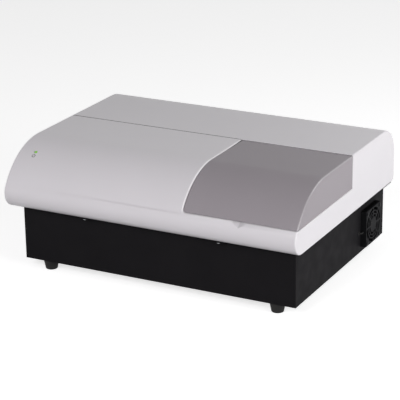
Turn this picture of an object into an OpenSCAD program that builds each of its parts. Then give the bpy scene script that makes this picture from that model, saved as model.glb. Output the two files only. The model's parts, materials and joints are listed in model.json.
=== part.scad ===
// Microplate reader: it measures the light that passes through the wells of a plate.
// X runs to the right, Y to the back and Z up. The origin is on the bench under the cover's middle.

/* [Cover] */
// Width of the cover
cover_w = 505; // [480:1:530]
// Depth of the cover, front to back
cover_d = 391; // [380:1:405]
// Height of the cover, from its rim to its flat top
cover_h = 96.5; // [94:0.5:102]
// Wall of the cover
cover_wall = 3; // [2.5:0.25:3.5]
// Depth of the front curve, from the front to where the flat top starts
curve_run = 107; // [104:0.5:112]
// Radius of the front curve
front_r = 120; // [116:1:124]
// Radius of the top rear edge
rear_r = 47; // [35:1:55]
// Radius of the bottom rear edge
rear_low_r = 8; // [5:1:12]
// Width of the rim that turns in under the cover
rim_w = 14; // [12:1:18]
// Distance of the seam across the top from the back
seam_back = 179.4; // [174:0.2:184]
// Width and depth of the seam groove
seam_w = 2; // [1.2:0.1:2.2]

/* [Lid] */
// Width of the lid, from its left edge to the cover's right side
lid_w = 189; // [184:1:194]
// Height of the lid's lower edge above the cover's rim
lid_low = 42; // [40:0.5:46]
// Wall of the lid
lid_wall = 3; // [2.5:0.25:3.5]
// Corner radius of the lid at the front left
lid_corner = 4.5; // [3:0.5:10]
// Gap round the lid
lid_gap = 0.7; // [0.5:0.1:1]
// Depth of the hinge line under the top
hinge_deep = 4.3; // [4.2:0.1:4.4]
// Radius of the lid's rear edge round the hinge line
lid_edge_r = 6.1; // [5.9:0.1:6.3]
// Diameter of the hinge pins
pin_d = 2.5; // [2:0.1:2.6]
// Distance of the hinges from the lid's ends
hinge_inset = 36; // [28:1:44]
// Spread of the finger notch, each way from its tip
notch_w = 36; // [30:1:42]
// Height of the finger notch
notch_h = 8.5; // [7:0.5:9]

/* [Base] */
// Height of the base
base_h = 88; // [84:0.5:96]
// How far the base stays inside the cover at the left
base_in_left = 17.5; // [15:0.5:25]
// How far the base stays inside the cover at the right
base_in_right = 12; // [11.7:0.1:20]
// How far the base stays inside the cover at the back
base_in_back = 15.5; // [14:0.5:18]
// How far the base starts behind the middle of the cover's nose
base_in_front = 3.92; // [3.5:0.01:6]
// Sheet thickness of the base and the rear panel
sheet = 1.5; // [1:0.1:2]
// Width of the base's inner flanges
flange_w = 12; // [10:1:16]
// Thickness of the deck plate
deck_t = 2; // [1.5:0.25:3]
// How far the deck plate stays inside the cover's outline
deck_inset = 2; // [1:0.5:4]
// How far the deck's two wings start behind the base's front
wing_back = 6; // [5:1:12]
// Width of the deck's tabs for the cover's front screws
tab_w = 16; // [12:1:24]

/* [Feet] */
// Height of a foot
foot_h = 16.5; // [12:0.5:18]
// Diameter of a foot at the bench
foot_low_d = 19; // [14:0.5:20]
// Diameter of a foot at the base
foot_top_d = 25.5; // [22:0.5:30]
// Distance of the feet from the base's front and back
foot_inset_y = 14; // [13:0.5:20]
// Distance of the left feet from the base's left side
foot_inset_left = 38.5; // [30:0.5:45]
// Distance of the right feet from the base's right side
foot_inset_right = 36; // [25:0.5:45]

/* [Fan] */
// Depth of the fan
fan_t = 10; // [10:1:11]
// Distance of the fan's middle from the base's back
fan_back = 66; // [60:1:90]
// Height of the fan's middle above the base's floor
fan_up = 40; // [38:1:44]

/* [Plate transport] */
// Distance of the transport line from the cover's front
transport_y = 120.5; // [118:0.5:122]
// Distance between the two guide rods
rod_gap = 91; // [91:0.5:92]
// Diameter of the guide rods
rod_d = 8; // [6:0.5:8]
// Wall of the bronze bushes
bush_wall = 2; // [1.5:0.25:2]
// Height of the rods above the deck
rod_rise = 12.5; // [12.5:0.5:13.5]
// Number of well columns that pass the reading line
columns = 12; // [6:1:12]

/* [Optics] */
// Distance of the reading line from the cover's left side
read_x = 192.5; // [190:0.5:195]
// Diameter of the filter wheel
wheel_d = 80; // [76:1:82]
// Diameter of the circle through the filters
filter_pcd = 56; // [54:1:58]
// Number of filters
filters = 8; // [6:1:8]
// Diameter of a filter
filter_d = 12.7; // [12:0.1:13]

/* [Hidden] */

$fn = 96;
eps = 0.01;
// Clearances: beside a moving piece, of a running shaft, and of a hole for a screw or a seated piece
gap = 0.5;
run = 0.05;
seat = 0.2;

// Standard sizes: a 96 well plate with its rows, the square fan and its screw holes
plate_l = 127.76;
plate_w = 85.48;
well_pitch = 9;
channels = 8;
fan_side = 60;
fan_hole = 25;

// Cover outline
x_left = -cover_w / 2;
x_right = cover_w / 2;
y_front = -cover_d / 2;
y_back = cover_d / 2;
floor_z = foot_h;
deck_z = foot_h + base_h;
rim_z = deck_z + deck_t;
top_z = rim_z + cover_h;
flat_d = cover_d - curve_run;
arc_y = y_front + curve_run;
arc_z = top_z - front_r;
// Radius of the nose that touches the front curve, the front plane and the rim plane
nose_run = arc_y - y_front;
nose_rise = rim_z - arc_z;
nose_half = front_r + nose_rise - nose_run;
nose_r = -nose_half + sqrt(pow(nose_half, 2) - pow(nose_run, 2) - pow(nose_rise, 2) + pow(front_r, 2));
nose_y = y_front + nose_r;
nose_z = rim_z + nose_r;
inner_top = top_z - cover_wall;

// Lid and hinge
lid_x = x_right - lid_w;
lid_mid = lid_x + lid_w / 2;
lid_z = rim_z + lid_low;
seam_y = y_back - seam_back;
opening_r = lid_edge_r + lid_gap;
hinge_z = top_z - hinge_deep;
opening_reach = sqrt(pow(opening_r, 2) - pow(hinge_deep, 2));
lid_reach = sqrt(pow(lid_edge_r, 2) - pow(hinge_deep, 2));
hinge_y = seam_y - (opening_reach + lid_reach) / 2;
hinge_xs = [lid_x + hinge_inset, x_right - hinge_inset];
pin_r = pin_d / 2;
leaf_t = 1.5;
leaf_w = 10;
leaf_r = pin_r + 1.6;
leaf_z = hinge_z - 9;
knuckle_w = 8;
knuckle_r = hinge_deep - gap;
block_y = hinge_y + 12;
block_d = 22;
rib_x = lid_x + 11;
rib_t = 2;
rib_deep = 14;
magnet_d = 8;
magnet_t = 3;
magnet_y = arc_y - 61.5;
magnet_z = arc_z + 85;

// Base
bx0 = x_left + base_in_left;
bx1 = x_right - base_in_right;
by0 = nose_y + base_in_front;
by1 = y_back - base_in_back;
base_w = bx1 - bx0;
base_d = by1 - by0;
floor_top = floor_z + sheet;
deck_front = nose_y - 7.5;
foot_xs = [bx0 + foot_inset_left, bx1 - foot_inset_right];
foot_ys = [by0 + foot_inset_y, by1 - foot_inset_y];
screw_r = 1.5;
head_r = 2.8;
head_t = 1.6;
cover_screw_xs = [-117, 117];
cover_screw_front = nose_y - 3.5;
side_screw_ys = [by0 + 40, by1 - 60];
deck_screw_xs = [bx0 + 60, (bx0 + bx1) / 2, bx1 - 60];

// Fan on the right wall
fan_y = by1 - fan_back;
fan_z = floor_z + fan_up;
fan_bore_r = fan_side / 2 - 1.5;
fan_hub_r = 12.5;
guard_rs = [17.3, 22.7];
guard_t = 1.8;
fan_lead_z = fan_z - 5;
fan_lead_y = fan_y - fan_side / 2 - 8;
grommet_r = 3.4;

// Plate transport
tr_y = y_front + transport_y;
opt_x = x_left + read_x;
rod_z = rim_z + rod_rise;
rod_r = rod_d / 2;
rod_ys = [tr_y - rod_gap / 2, tr_y + rod_gap / 2];
bush_r = rod_r + bush_wall;
bush_l = 20;
house_half = bush_r + 2.5;
car_l = plate_l + 22;
car_w = plate_w + 20;
car_z = rod_z + 10.5;
nest_z = car_z + 4.5;
car_top = car_z + 11.5;
stop_gap = 2;
sup_w = 10;
sup_right = x_right - rim_w - gap - sup_w;
load_x = sup_right - stop_gap - car_l / 2;
travel = load_x - opt_x + (columns - 1) / 2 * well_pitch;
sup_left = load_x - travel - car_l / 2 - stop_gap - sup_w;
bush_dx = 55;
belt_y = tr_y + 67;
belt_w = 6;
belt_t = 1.5;
belt_z = rod_z - 2;
pulley_r = 7.1;
belt_in = pulley_r + 0.15;
shaft_r = 2.5;
drive_x = sup_left + 30;
idler_x = sup_right - 6;
strand_y = belt_y - belt_in - belt_t / 2;
motor_side = 42.3;
motor_h = 38;
lever_x = load_x + plate_l / 2 + 3.5;
lever_y = tr_y - plate_w / 2 + 12;
flag_l = 14;
flag_w = 9;
home_x = load_x - travel - car_l / 2 + 5;
home_y = tr_y - car_w / 2 - flag_w - 5;

// Compartment under the lid
liner_t = 2;
liner_x0 = lid_x + 0.6;
liner_x1 = x_right - cover_wall - gap;
liner_y0 = arc_y - 76;
liner_y1 = hinge_y - 8;
gate_top = car_top + 12;
gate_front = tr_y - car_w / 2 - flag_w - 1.5;

// Optics
head_z = car_top + 10;
bridge_t = 18;
bridge_w = 30;
bridge_front = tr_y - 77;
bridge_back = belt_y + 28;
pillar_t = 12;
fibre_r = 1.5;
well_r = 3;
wheel_x = opt_x - 105;
wheel_t = 6;
light_z = rim_z + 45.5;
light_y = arc_y + 158.5;
wheel_y = light_y + filter_pcd / 2;
small_motor = 35;
small_motor_l = 26;
bracket_x = wheel_x + wheel_t + 4;
lamp_x = wheel_x - 66;

// Status light, at this angle down the front curve
led_x = x_left + 29.8;
led_tilt = 27.3;
led_r = 2.5;
led_wire_x = led_x + 5;

// Rear panel fittings and boards
in_x = bx0 + 50;
in_z = floor_z + 42;
in_w = 27;
in_h = 30;
sock_w = 24;
sock_h = 16;
sw_x = in_x + 42;
sw_w = 13;
sw_h = 19.5;
sw_tilt = 9;
rocker_w = sw_w - 3.8;
rocker_y = by1 - 2;
trunnion_r = 1;
trunnion_l = 1.2;
usb_w = 12;
usb_h = 10.8;
board_x = opt_x - 20;
board_l = 160;
usb_x = board_x + 70;
serial_x = board_x + 115;
board_y = by1 - sheet - 132.5;
board_w = 130;
board_z = floor_top + 8;
board_t = 1.6;
header_z = board_z + board_t + 4;
psu_x = bx0 + 10;
psu_l = 110;
psu_y = by1 - 120;
psu_w = 78;
psu_h = 38;
wire_bend = 5;
under_deck = deck_z - sheet - 2;
on_floor = floor_top + 2.4;

// Turns a flat outline, drawn as Y and Z, into a solid that runs along X.
module along_x(x, length) {
  translate([x, 0, 0]) rotate([90, 0, 90]) linear_extrude(length) children();
}

module box(x, y, z, w, d, h) {
  translate([x, y, z]) cube([w, d, h]);
}

module rod_x(x, y, z, r, length) {
  translate([x, y, z]) rotate([0, 90, 0]) cylinder(r = r, h = length);
}

module rod_y(x, y, z, r, length) {
  translate([x, y, z]) rotate([-90, 0, 0]) cylinder(r = r, h = length);
}

module rod_up(x, y, z, r, length) {
  translate([x, y, z]) cylinder(r = r, h = length);
}

// A screw with its head below z and its shank going up.
module screw_up(x, y, z, length, r = screw_r, head = head_r, tall = head_t) {
  rod_up(x, y, z - tall, head, tall);
  rod_up(x, y, z - eps, r, length + eps);
}

// Side view of the cover, drawn inside its outer surface by the distance inset.
module cover_outline(inset) {
  low_r = max(rear_low_r - inset, 0.5);
  intersection() {
    translate([y_front - 5, rim_z + inset]) square([cover_d + 10, cover_h + 10]);
    union() {
      intersection() {
        translate([arc_y, arc_z]) circle(r = front_r - inset);
        polygon([[arc_y, arc_z], [arc_y, top_z + 10], [arc_y - 2 * front_r, top_z + 10],
          [2 * nose_y - arc_y, 2 * nose_z - arc_z]]);
      }
      translate([nose_y, nose_z]) circle(r = nose_r - inset);
      polygon([[arc_y + eps, arc_z], [arc_y + eps, nose_z], [nose_y, nose_z], [nose_y, arc_z]]);
      translate([arc_y, rim_z]) square([flat_d - rear_r, cover_h - inset]);
      translate([arc_y, rim_z + inset + low_r]) square([flat_d - inset, cover_h - rear_r - inset - low_r]);
      translate([arc_y, rim_z + inset]) square([flat_d - inset - low_r, cover_h - rear_r]);
      translate([y_back - rear_r, top_z - rear_r]) circle(r = rear_r - inset);
      translate([y_back - inset - low_r, rim_z + inset + low_r]) circle(r = low_r);
    }
  }
}

// Front view of the lid or of its opening, larger by the distance grow.
module lid_front(grow) {
  r = lid_corner + grow;
  x = lid_x - grow;
  z = lid_z - grow;
  translate([x + r, z]) square([lid_w + 10, cover_h]);
  translate([x, z + r]) square([lid_w, cover_h]);
  translate([x + r, z + r]) circle(r = r);
}

module lid_block(grow) {
  translate([0, y_back, 0]) rotate([90, 0, 0]) linear_extrude(cover_d + 5) lid_front(grow);
}

// Side view of the room that the lid's rear edge needs round the hinge line.
module hinge_side(r) {
  translate([y_front - 5, rim_z]) square([hinge_y - y_front + 5, cover_h + 10]);
  translate([hinge_y, hinge_z]) circle(r = r);
  translate([hinge_y - eps, rim_z]) square([r, hinge_z - rim_z]);
}

module finger_cut() {
  tip_z = lid_z - lid_gap - notch_h;
  tip_y = arc_y - sqrt(pow(front_r, 2) - pow(tip_z - arc_z, 2));
  rise = notch_h * 1.5;
  translate([lid_mid, tip_y, tip_z]) rotate([30, 0, 0]) rotate([90, 0, 0])
    linear_extrude(60, center = true) polygon([[0, 0], [notch_w, rise], [-notch_w, rise]]);
}

module on_front_curve(x, tilt) {
  translate([x, arc_y, arc_z]) rotate([tilt, 0, 0]) children();
}

module cover_shell() {
  inside = cover_w - 2 * cover_wall;
  color("gainsboro") difference() {
    union() {
      difference() {
        along_x(x_left, cover_w) cover_outline(0);
        along_x(x_left + cover_wall, inside) cover_outline(cover_wall);
        box(x_left + rim_w, nose_y + 6, rim_z - 1, cover_w - 2 * rim_w,
          y_back - rim_w - nose_y - 6, cover_wall + 2);
      }
      for (x = hinge_xs)
        box(x - leaf_w, block_y, leaf_z + leaf_t, 2 * leaf_w, block_d, inner_top - leaf_z - leaf_t + eps);
      intersection() {
        along_x(lid_mid - notch_w / 2 - 3, notch_w + 6) cover_outline(1);
        box(lid_x, y_front, lid_z - notch_h - 4, lid_w, 18, notch_h + 4 - lid_gap);
      }
      on_front_curve(led_x, led_tilt)
        for (dx = [-8, 8]) rod_up(dx, 0, front_r - cover_wall - 8, 2.2, 8.5);
      for (x = cover_screw_xs) rod_up(x, cover_screw_front, rim_z + 0.5, 3.5, 9.5);
    }
    intersection() {
      lid_block(lid_gap);
      along_x(lid_x - 5, lid_w + 10) hinge_side(opening_r);
      box(lid_x - 5, y_front - 5, lid_z - lid_gap, lid_w + 10, block_y - y_front, cover_h);
    }
    box(x_left - 1, seam_y - seam_w / 2, top_z - seam_w, lid_x - x_left + 1, seam_w, seam_w + 1);
    finger_cut();
    on_front_curve(led_x, led_tilt) rod_up(0, 0, front_r - cover_wall - 1, led_r + seat, 8);
    for (x = cover_screw_xs) rod_up(x, cover_screw_front, rim_z - 1, screw_r, 9);
    for (y = side_screw_ys, x = [x_left + 8, x_right - 8]) rod_up(x, y, rim_z - 1, screw_r, 5);
    for (x = hinge_xs, y = [block_y + 6, block_y + 16]) rod_up(x, y, leaf_z, screw_r, 8);
  }
}

module lid_shell() {
  edge_y = hinge_y + lid_edge_r;
  color("gray") difference() {
    union() {
      intersection() {
        difference() {
          along_x(lid_x, lid_w) cover_outline(0);
          along_x(lid_x - 1, lid_w + 1 - lid_wall) cover_outline(lid_wall);
        }
        lid_block(0);
        along_x(lid_x, lid_w) hinge_side(lid_edge_r);
      }
      intersection() {
        along_x(rib_x, rib_t) difference() {
          cover_outline(lid_wall - eps);
          cover_outline(lid_wall + rib_deep);
        }
        box(rib_x - 1, y_front, lid_z + 10, rib_t + 2, hinge_y - 10 - y_front, cover_h);
      }
      for (x = hinge_xs, side = [-1, 1])
        rod_x(x + side * (leaf_w / 2 + gap + knuckle_w / 2) - knuckle_w / 2, hinge_y, hinge_z,
          knuckle_r, knuckle_w);
    }
    for (x = hinge_xs) {
      rod_x(x - leaf_w / 2 - gap, hinge_y, hinge_z, leaf_r + 0.3, leaf_w + 2 * gap);
      rod_x(x - leaf_w / 2 - knuckle_w - 2, hinge_y, hinge_z, pin_r + eps, leaf_w + 2 * knuckle_w + 4);
    }
  }
}

module lid_magnet() {
  color("silver") rod_x(rib_x + rib_t, magnet_y, magnet_z, magnet_d / 2, magnet_t);
}

module hinge_leaves() {
  color("silver") for (x = hinge_xs) difference() {
    union() {
      rod_x(x - leaf_w / 2, hinge_y, hinge_z, leaf_r, leaf_w);
      box(x - leaf_w / 2, hinge_y - leaf_t / 2, leaf_z, leaf_w, leaf_t, hinge_z - leaf_z);
      box(x - leaf_w / 2, hinge_y - leaf_t / 2, leaf_z, leaf_w, block_y + block_d - hinge_y, leaf_t);
    }
    rod_x(x - leaf_w, hinge_y, hinge_z, pin_r + run, 2 * leaf_w);
    for (y = [block_y + 6, block_y + 16]) rod_up(x, y, leaf_z - 1, screw_r + seat, leaf_t + 2);
  }
}

module hinge_pins() {
  color("lightgray") for (x = hinge_xs)
    rod_x(x - leaf_w / 2 - knuckle_w + 1, hinge_y, hinge_z, pin_r, leaf_w + 2 * knuckle_w - 2);
}

// Four walls that line the plate compartment, with a gate for the carriage in the left one.
module compartment_liner() {
  under = cover_wall + 0.3;
  z = rim_z;
  color("#202022") difference() {
    union() {
      intersection() {
        along_x(liner_x0, liner_t) cover_outline(under);
        box(lid_x, liner_y0, z, 10, liner_y1 + liner_t - liner_y0, cover_h);
      }
      intersection() {
        along_x(lid_x - 7, 16) difference() {
          cover_outline(under);
          cover_outline(under + liner_t);
        }
        box(lid_x - 7, y_front, lid_z - 8, 16, hinge_y - 8 - y_front, cover_h);
      }
      intersection() {
        along_x(lid_x - 7, liner_x1 - lid_x + 7) difference() {
          cover_outline(under);
          cover_outline(under + liner_t);
        }
        box(lid_x - 7, y_front, lid_z - 8, lid_w, cover_d / 3, 17);
      }
      box(liner_x0, liner_y0, z, liner_x1 - liner_x0, liner_t, lid_z - 6 - z);
      intersection() {
        along_x(liner_x0, liner_x1 - liner_x0) cover_outline(under);
        box(liner_x0, y_front, lid_z - 8, liner_x1 - liner_x0, liner_y0 + liner_t - y_front, liner_t);
      }
      box(liner_x1 - liner_t, liner_y0, z, liner_t, liner_y1 - liner_y0, lid_z + 6 - z);
      box(liner_x0, liner_y1, z, liner_x1 - liner_x0, liner_t, hinge_z - 14 - z);
    }
    box(lid_x - 3, gate_front, z - 1, 8, liner_y1 - 1.5 - gate_front, gate_top - z + 1);
    box(lid_mid - notch_w / 2 - 3.5, y_front, lid_z - notch_h - 5, notch_w + 7, 19, notch_h + 20);
    box(lid_x - 8, y_front, lid_z - 9, 8.6, liner_y0 - y_front + 12, 8);
    box(x_right - rim_w - gap, y_front, z - 1, rim_w, cover_d, cover_wall + gap + 1);
  }
}

module lid_sensor() {
  color("dimgray") difference() {
    box(liner_x0 - 6, magnet_y - 7, magnet_z - 9, 6, 14, 12);
    rod_up(liner_x0 - 3, magnet_y, magnet_z - 10, 1.05, 4);
  }
}

// Tray of folded sheet with flanges for the deck and the rear panel.
module base_tray() {
  in_x0 = bx0 + sheet;
  in_w0 = base_w - 2 * sheet;
  color("#1e1e20") difference() {
    union() {
      difference() {
        box(bx0, by0, floor_z, base_w, base_d, base_h);
        box(in_x0, by0 + sheet, floor_top, in_w0, base_d, base_h);
      }
      box(in_x0 - eps, by0 + sheet - eps, deck_z - sheet, in_w0 + 2 * eps, flange_w, sheet);
      for (x = [in_x0 - eps, bx1 - sheet - flange_w + eps]) {
        box(x, by0 + sheet, deck_z - sheet, flange_w, base_d - 2 * sheet, sheet);
        box(x, by1 - 2 * sheet, floor_top - eps, flange_w, sheet, base_h - sheet + eps);
      }
    }
    box(in_x0, by1 - sheet, floor_top, in_w0, sheet + 1, base_h);
    rod_x(bx1 - sheet - 1, fan_y, fan_z, fan_bore_r - 0.5, sheet + 2);
    for (dy = [-fan_hole, fan_hole], dz = [-fan_hole, fan_hole])
      rod_x(bx1 - sheet - 1, fan_y + dy, fan_z + dz, screw_r + seat, sheet + 2);
    rod_x(bx1 - sheet - 1, fan_lead_y, fan_lead_z, grommet_r - 0.9, sheet + 2);
    for (x = foot_xs, y = foot_ys) rod_up(x, y, floor_z - 1, 2.1, sheet + 2);
    for (i = [0:11]) box(bx0 - 1, by0 + 60 + i * 9, floor_z + 22, sheet + 2, 4, 44);
    for (x = deck_screw_xs) rod_up(x, by0 + 7.5, deck_z - sheet - 1, screw_r, sheet + 2);
    for (y = side_screw_ys, x = [bx0 + 7.5, bx1 - 7.5])
      rod_up(x, y, deck_z - sheet - 1, screw_r, sheet + 2);
    for (x = [bx0 + 7.5, bx1 - 7.5], z = [floor_z + 12, deck_z - 12])
      rod_y(x, by1 - 2 * sheet - 1, z, screw_r, sheet + 2);
  }
}

module rear_panel() {
  color("#1e1e20") difference() {
    box(bx0 + sheet + seat, by1 - sheet, floor_top + seat, base_w - 2 * sheet - 2 * seat, sheet,
      base_h - sheet - 2 * seat);
    box(in_x - in_w / 2, by1 - 5, in_z - in_h / 2, in_w, 10, in_h);
    box(sw_x - sw_w / 2, by1 - 5, in_z - sw_h / 2, sw_w, 10, sw_h);
    box(usb_x - usb_w / 2 - 0.4, by1 - 5, board_z + board_t, usb_w + 0.8, 10, usb_h + 0.6);
    box(serial_x - 12, by1 - 5, board_z + board_t + 0.8, 24, 10, 11.4);
    for (i = [0:11]) box(100 + i * 9, by1 - 5, floor_z + 26, 4, 10, 40);
    for (x = [bx0 + 7.5, bx1 - 7.5], z = [floor_z + 12, deck_z - 12])
      rod_y(x, by1 - 5, z, screw_r + seat, 10);
  }
}

// It ends at the base's front but for two tabs, and its wings start behind the cover's nose.
module deck_plate() {
  left = x_left + deck_inset;
  right = x_right - deck_inset;
  wing = by0 + wing_back;
  back = y_back - rear_low_r;
  color("#18181a") difference() {
    union() {
      translate([0, 0, deck_z]) linear_extrude(deck_t)
        polygon([[bx0, by0], [bx1, by0], [bx1, wing], [right, wing],
          [right, back], [left, back], [left, wing], [bx0, wing]]);
      for (x = cover_screw_xs)
        box(x - tab_w / 2, deck_front, deck_z, tab_w, by0 - deck_front + 1, deck_t);
    }
    for (x = cover_screw_xs) rod_up(x, cover_screw_front, deck_z - 1, screw_r + seat, deck_t + 2);
    for (y = side_screw_ys, x = [x_left + 8, x_right - 8])
      rod_up(x, y, deck_z - 1, screw_r + seat, deck_t + 2);
    for (x = deck_screw_xs) rod_up(x, by0 + 7.5, deck_z - 1, screw_r + seat, deck_t + 2);
    for (y = side_screw_ys, x = [bx0 + 7.5, bx1 - 7.5])
      rod_up(x, y, deck_z - 1, screw_r + seat, deck_t + 2);
    rod_up(drive_x, belt_y, deck_z - 1, 11.1, deck_t + 2);
    rod_up(led_wire_x, nose_y + 30, deck_z - 1, 3.2, deck_t + 2);
    rod_up(home_x, home_y - 7, deck_z - 1, 3.2, deck_t + 2);
    rod_up(liner_x0 - 3, magnet_y, deck_z - 1, 3.2, deck_t + 2);
    rod_up(wheel_x + 57, wheel_y, deck_z - 1, 3.2, deck_t + 2);
    rod_up(psu_x + 11, light_y, deck_z - 1, 3.4, deck_t + 2);
    box(opt_x - 11, tr_y + 14, deck_z - 1, 22, 3, deck_t + 2);
  }
}

module feet() {
  color("#161616") for (x = foot_xs, y = foot_ys) translate([x, y, 0]) difference() {
    rotate_extrude() polygon([[0, 0], [foot_low_d / 2 - 1, 0], [foot_low_d / 2, 1],
      [foot_top_d / 2, foot_h], [0, foot_h]]);
    rod_up(0, 0, -1, 4.4, foot_h - 4);
    rod_up(0, 0, 1, 2.1, foot_h);
  }
}

module foot_screws() {
  color("silver") for (x = foot_xs, y = foot_ys) {
    screw_up(x, y, foot_h - 5, 9, 2, 4, 2.4);
    rod_up(x, y, floor_top, 3.6, 2.4);
  }
}

// The small screws that hold the cover, the deck, the rear panel, the hinges and the fan.
module machine_screws() {
  color("silver") {
    for (x = hinge_xs, y = [block_y + 6, block_y + 16]) screw_up(x, y, leaf_z, 7);
    for (x = cover_screw_xs) screw_up(x, cover_screw_front, deck_z, deck_t + 7);
    for (y = side_screw_ys, x = [x_left + 8, x_right - 8]) screw_up(x, y, deck_z, deck_t + 2.5);
    for (x = deck_screw_xs) screw_up(x, by0 + 7.5, deck_z - sheet, sheet + deck_t);
    for (y = side_screw_ys, x = [bx0 + 7.5, bx1 - 7.5]) screw_up(x, y, deck_z - sheet, sheet + deck_t);
    for (x = [bx0 + 7.5, bx1 - 7.5], z = [floor_z + 12, deck_z - 12]) {
      rod_y(x, by1, z, head_r, head_t);
      rod_y(x, by1 - 6, z, screw_r, 6 + eps);
    }
    for (dy = [-fan_hole, fan_hole], dz = [-fan_hole, fan_hole]) {
      rod_x(bx1 + fan_t, fan_y + dy, fan_z + dz, head_r, head_t);
      rod_x(bx1 - 4, fan_y + dy, fan_z + dz, screw_r, fan_t + 4 + eps);
    }
  }
}

// Square frame with outer struts and two finger rings, which carry the motor's hub.
module fan_frame() {
  color("#2c2c2e") difference() {
    union() {
      difference() {
        box(bx1, fan_y - fan_side / 2, fan_z - fan_side / 2, fan_t, fan_side, fan_side);
        rod_x(bx1 - 1, fan_y, fan_z, fan_bore_r, fan_t + 2);
      }
      for (turn = [0:45:315]) translate([bx1 + fan_t - 2, fan_y, fan_z]) rotate([turn, 0, 0])
        box(0, -1.2, 0, 2, 2.4, fan_bore_r + 0.5);
      for (r = guard_rs) difference() {
        rod_x(bx1 + fan_t - 1.5, fan_y, fan_z, r + guard_t / 2, 1.5);
        rod_x(bx1 + fan_t - 2.5, fan_y, fan_z, r - guard_t / 2, 3.5);
      }
      rod_x(bx1 + fan_t - 2, fan_y, fan_z, fan_hub_r, 2);
      rod_x(bx1 + 2, fan_y, fan_z, 3, fan_t - 3);
    }
    for (dy = [-fan_hole, fan_hole], dz = [-fan_hole, fan_hole])
      rod_x(bx1 - 1, fan_y + dy, fan_z + dz, 2.1, fan_t + 2);
    rod_y(bx1 + 4.5, fan_y - fan_side / 2 - 1, fan_lead_z, 1.3, 4);
  }
}

module fan_rotor() {
  blade = fan_bore_r - 1.2;
  color("#1a1a1c") difference() {
    union() {
      rod_x(bx1 + 1, fan_y, fan_z, fan_hub_r, fan_t - 3.6);
      for (i = [0:6]) translate([bx1 + 4, fan_y, fan_z]) rotate([i * 360 / 7, 0, 0])
        rotate([0, 0, 38]) box(-3.6, -0.6, fan_hub_r - 1, 7.2, 1.2, blade - fan_hub_r + 1);
    }
    rod_x(bx1 + 1.9, fan_y, fan_z, 3 + run, fan_t);
    rod_x(bx1 + 2.8, fan_y, fan_z, fan_hub_r - 1.4, fan_t);
  }
}

module fan_grommet() {
  x = bx1 - sheet;
  color("#3a3a3c") difference() {
    union() {
      rod_x(x - 1, fan_lead_y, fan_lead_z, grommet_r, 1);
      rod_x(x - 1, fan_lead_y, fan_lead_z, grommet_r - 1, sheet + 2);
      rod_x(bx1, fan_lead_y, fan_lead_z, grommet_r, 1);
    }
    rod_x(x - 2, fan_lead_y, fan_lead_z, 1.3, sheet + 4);
  }
}

// One straight stretch and one quarter bend for each leg of a route that follows the axes.
function leg(points, i) = points[i + 1] - points[i];
function unit(v) = v / norm(v);

module quarter_bend(corner, from, to, bend, r) {
  across = cross(from, to);
  centre = corner - from * bend + to * bend;
  multmatrix([[-to[0], from[0], across[0], centre[0]],
    [-to[1], from[1], across[1], centre[1]],
    [-to[2], from[2], across[2], centre[2]],
    [0, 0, 0, 1]])
    rotate_extrude(angle = 90) translate([bend, 0]) circle(r = r, $fn = 32);
}

module straight(a, b, r) {
  way = unit(b - a);
  turn = abs(way[0]) > 0.5 ? [0, 90 * way[0], 0] : abs(way[1]) > 0.5 ? [-90 * way[1], 0, 0]
    : way[2] > 0 ? [0, 0, 0] : [180, 0, 0];
  translate(a) rotate(turn) cylinder(r = r, h = norm(b - a), $fn = 32);
}

module wire(points, r, bend = wire_bend) {
  last = len(points) - 2;
  for (i = [0:last]) {
    way = unit(leg(points, i));
    start = i == 0 ? points[i] : points[i] + way * bend;
    end = i == last ? points[i + 1] : points[i + 1] - way * bend;
    straight(start, end, r);
    if (i < last) quarter_bend(points[i + 1], way, unit(leg(points, i + 1)), bend, r);
  }
}

module fan_lead() {
  x = bx1 + 4.5;
  color("#30302f") wire([[x, fan_y - fan_side / 2 + 2, fan_lead_z], [x, fan_lead_y, fan_lead_z],
    [bx1 - 9, fan_lead_y, fan_lead_z], [bx1 - 9, fan_lead_y, on_floor],
    [board_x + board_l + 15, fan_lead_y, on_floor], [board_x + board_l + 15, fan_lead_y, header_z],
    [board_x + board_l, fan_lead_y, header_z]], 1.2, 4);
}

module signal_leads() {
  y0 = board_y;
  light_x = board_x + 60;
  home_lead_x = board_x + 68;
  lid_lead_x = board_x + 110;
  light_y0 = nose_y + 30;
  flag_y = home_y - 7;
  color("#404346") {
    wire([[led_wire_x, light_y0, led_board_z()], [led_wire_x, light_y0, under_deck],
      [light_x, light_y0, under_deck], [light_x, light_y0, on_floor], [light_x, y0 - 16, on_floor],
      [light_x, y0 - 16, header_z], [light_x, y0, header_z]], 1.5);
    wire([[home_x, home_y, rim_z + 12], [home_x, flag_y, rim_z + 12], [home_x, flag_y, under_deck],
      [home_lead_x, flag_y, under_deck], [home_lead_x, flag_y, on_floor],
      [home_lead_x, y0 - 16, on_floor], [home_lead_x, y0 - 16, header_z],
      [home_lead_x, y0, header_z]], 1.5);
    wire([[liner_x0 - 3, magnet_y, magnet_z - 9], [liner_x0 - 3, magnet_y, under_deck],
      [lid_lead_x, magnet_y, under_deck], [lid_lead_x, magnet_y, on_floor], [lid_lead_x, y0 - 16, on_floor],
      [lid_lead_x, y0 - 16, header_z], [lid_lead_x, y0, header_z]], 1);
  }
}

// Height at which the status light's lead starts.
function led_board_z() = arc_z + (front_r - cover_wall - 12) * cos(led_tilt) - 0.8;

module power_led() {
  color("limegreen") on_front_curve(led_x, led_tilt) {
    rod_up(0, 0, front_r - cover_wall - 1.4, led_r + 0.4, 1.2);
    rod_up(0, 0, front_r - cover_wall - 0.3, led_r, cover_wall - 0.7);
    translate([0, 0, front_r - 1]) sphere(r = led_r);
    for (dx = [-1.27, 1.27]) rod_up(dx, 0, front_r - cover_wall - 8, 0.3, 7);
  }
}

module led_board() {
  color("darkgreen") on_front_curve(led_x, led_tilt)
    box(-11, -5, front_r - cover_wall - 9.6, 22, 10, 1.6);
}

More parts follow.
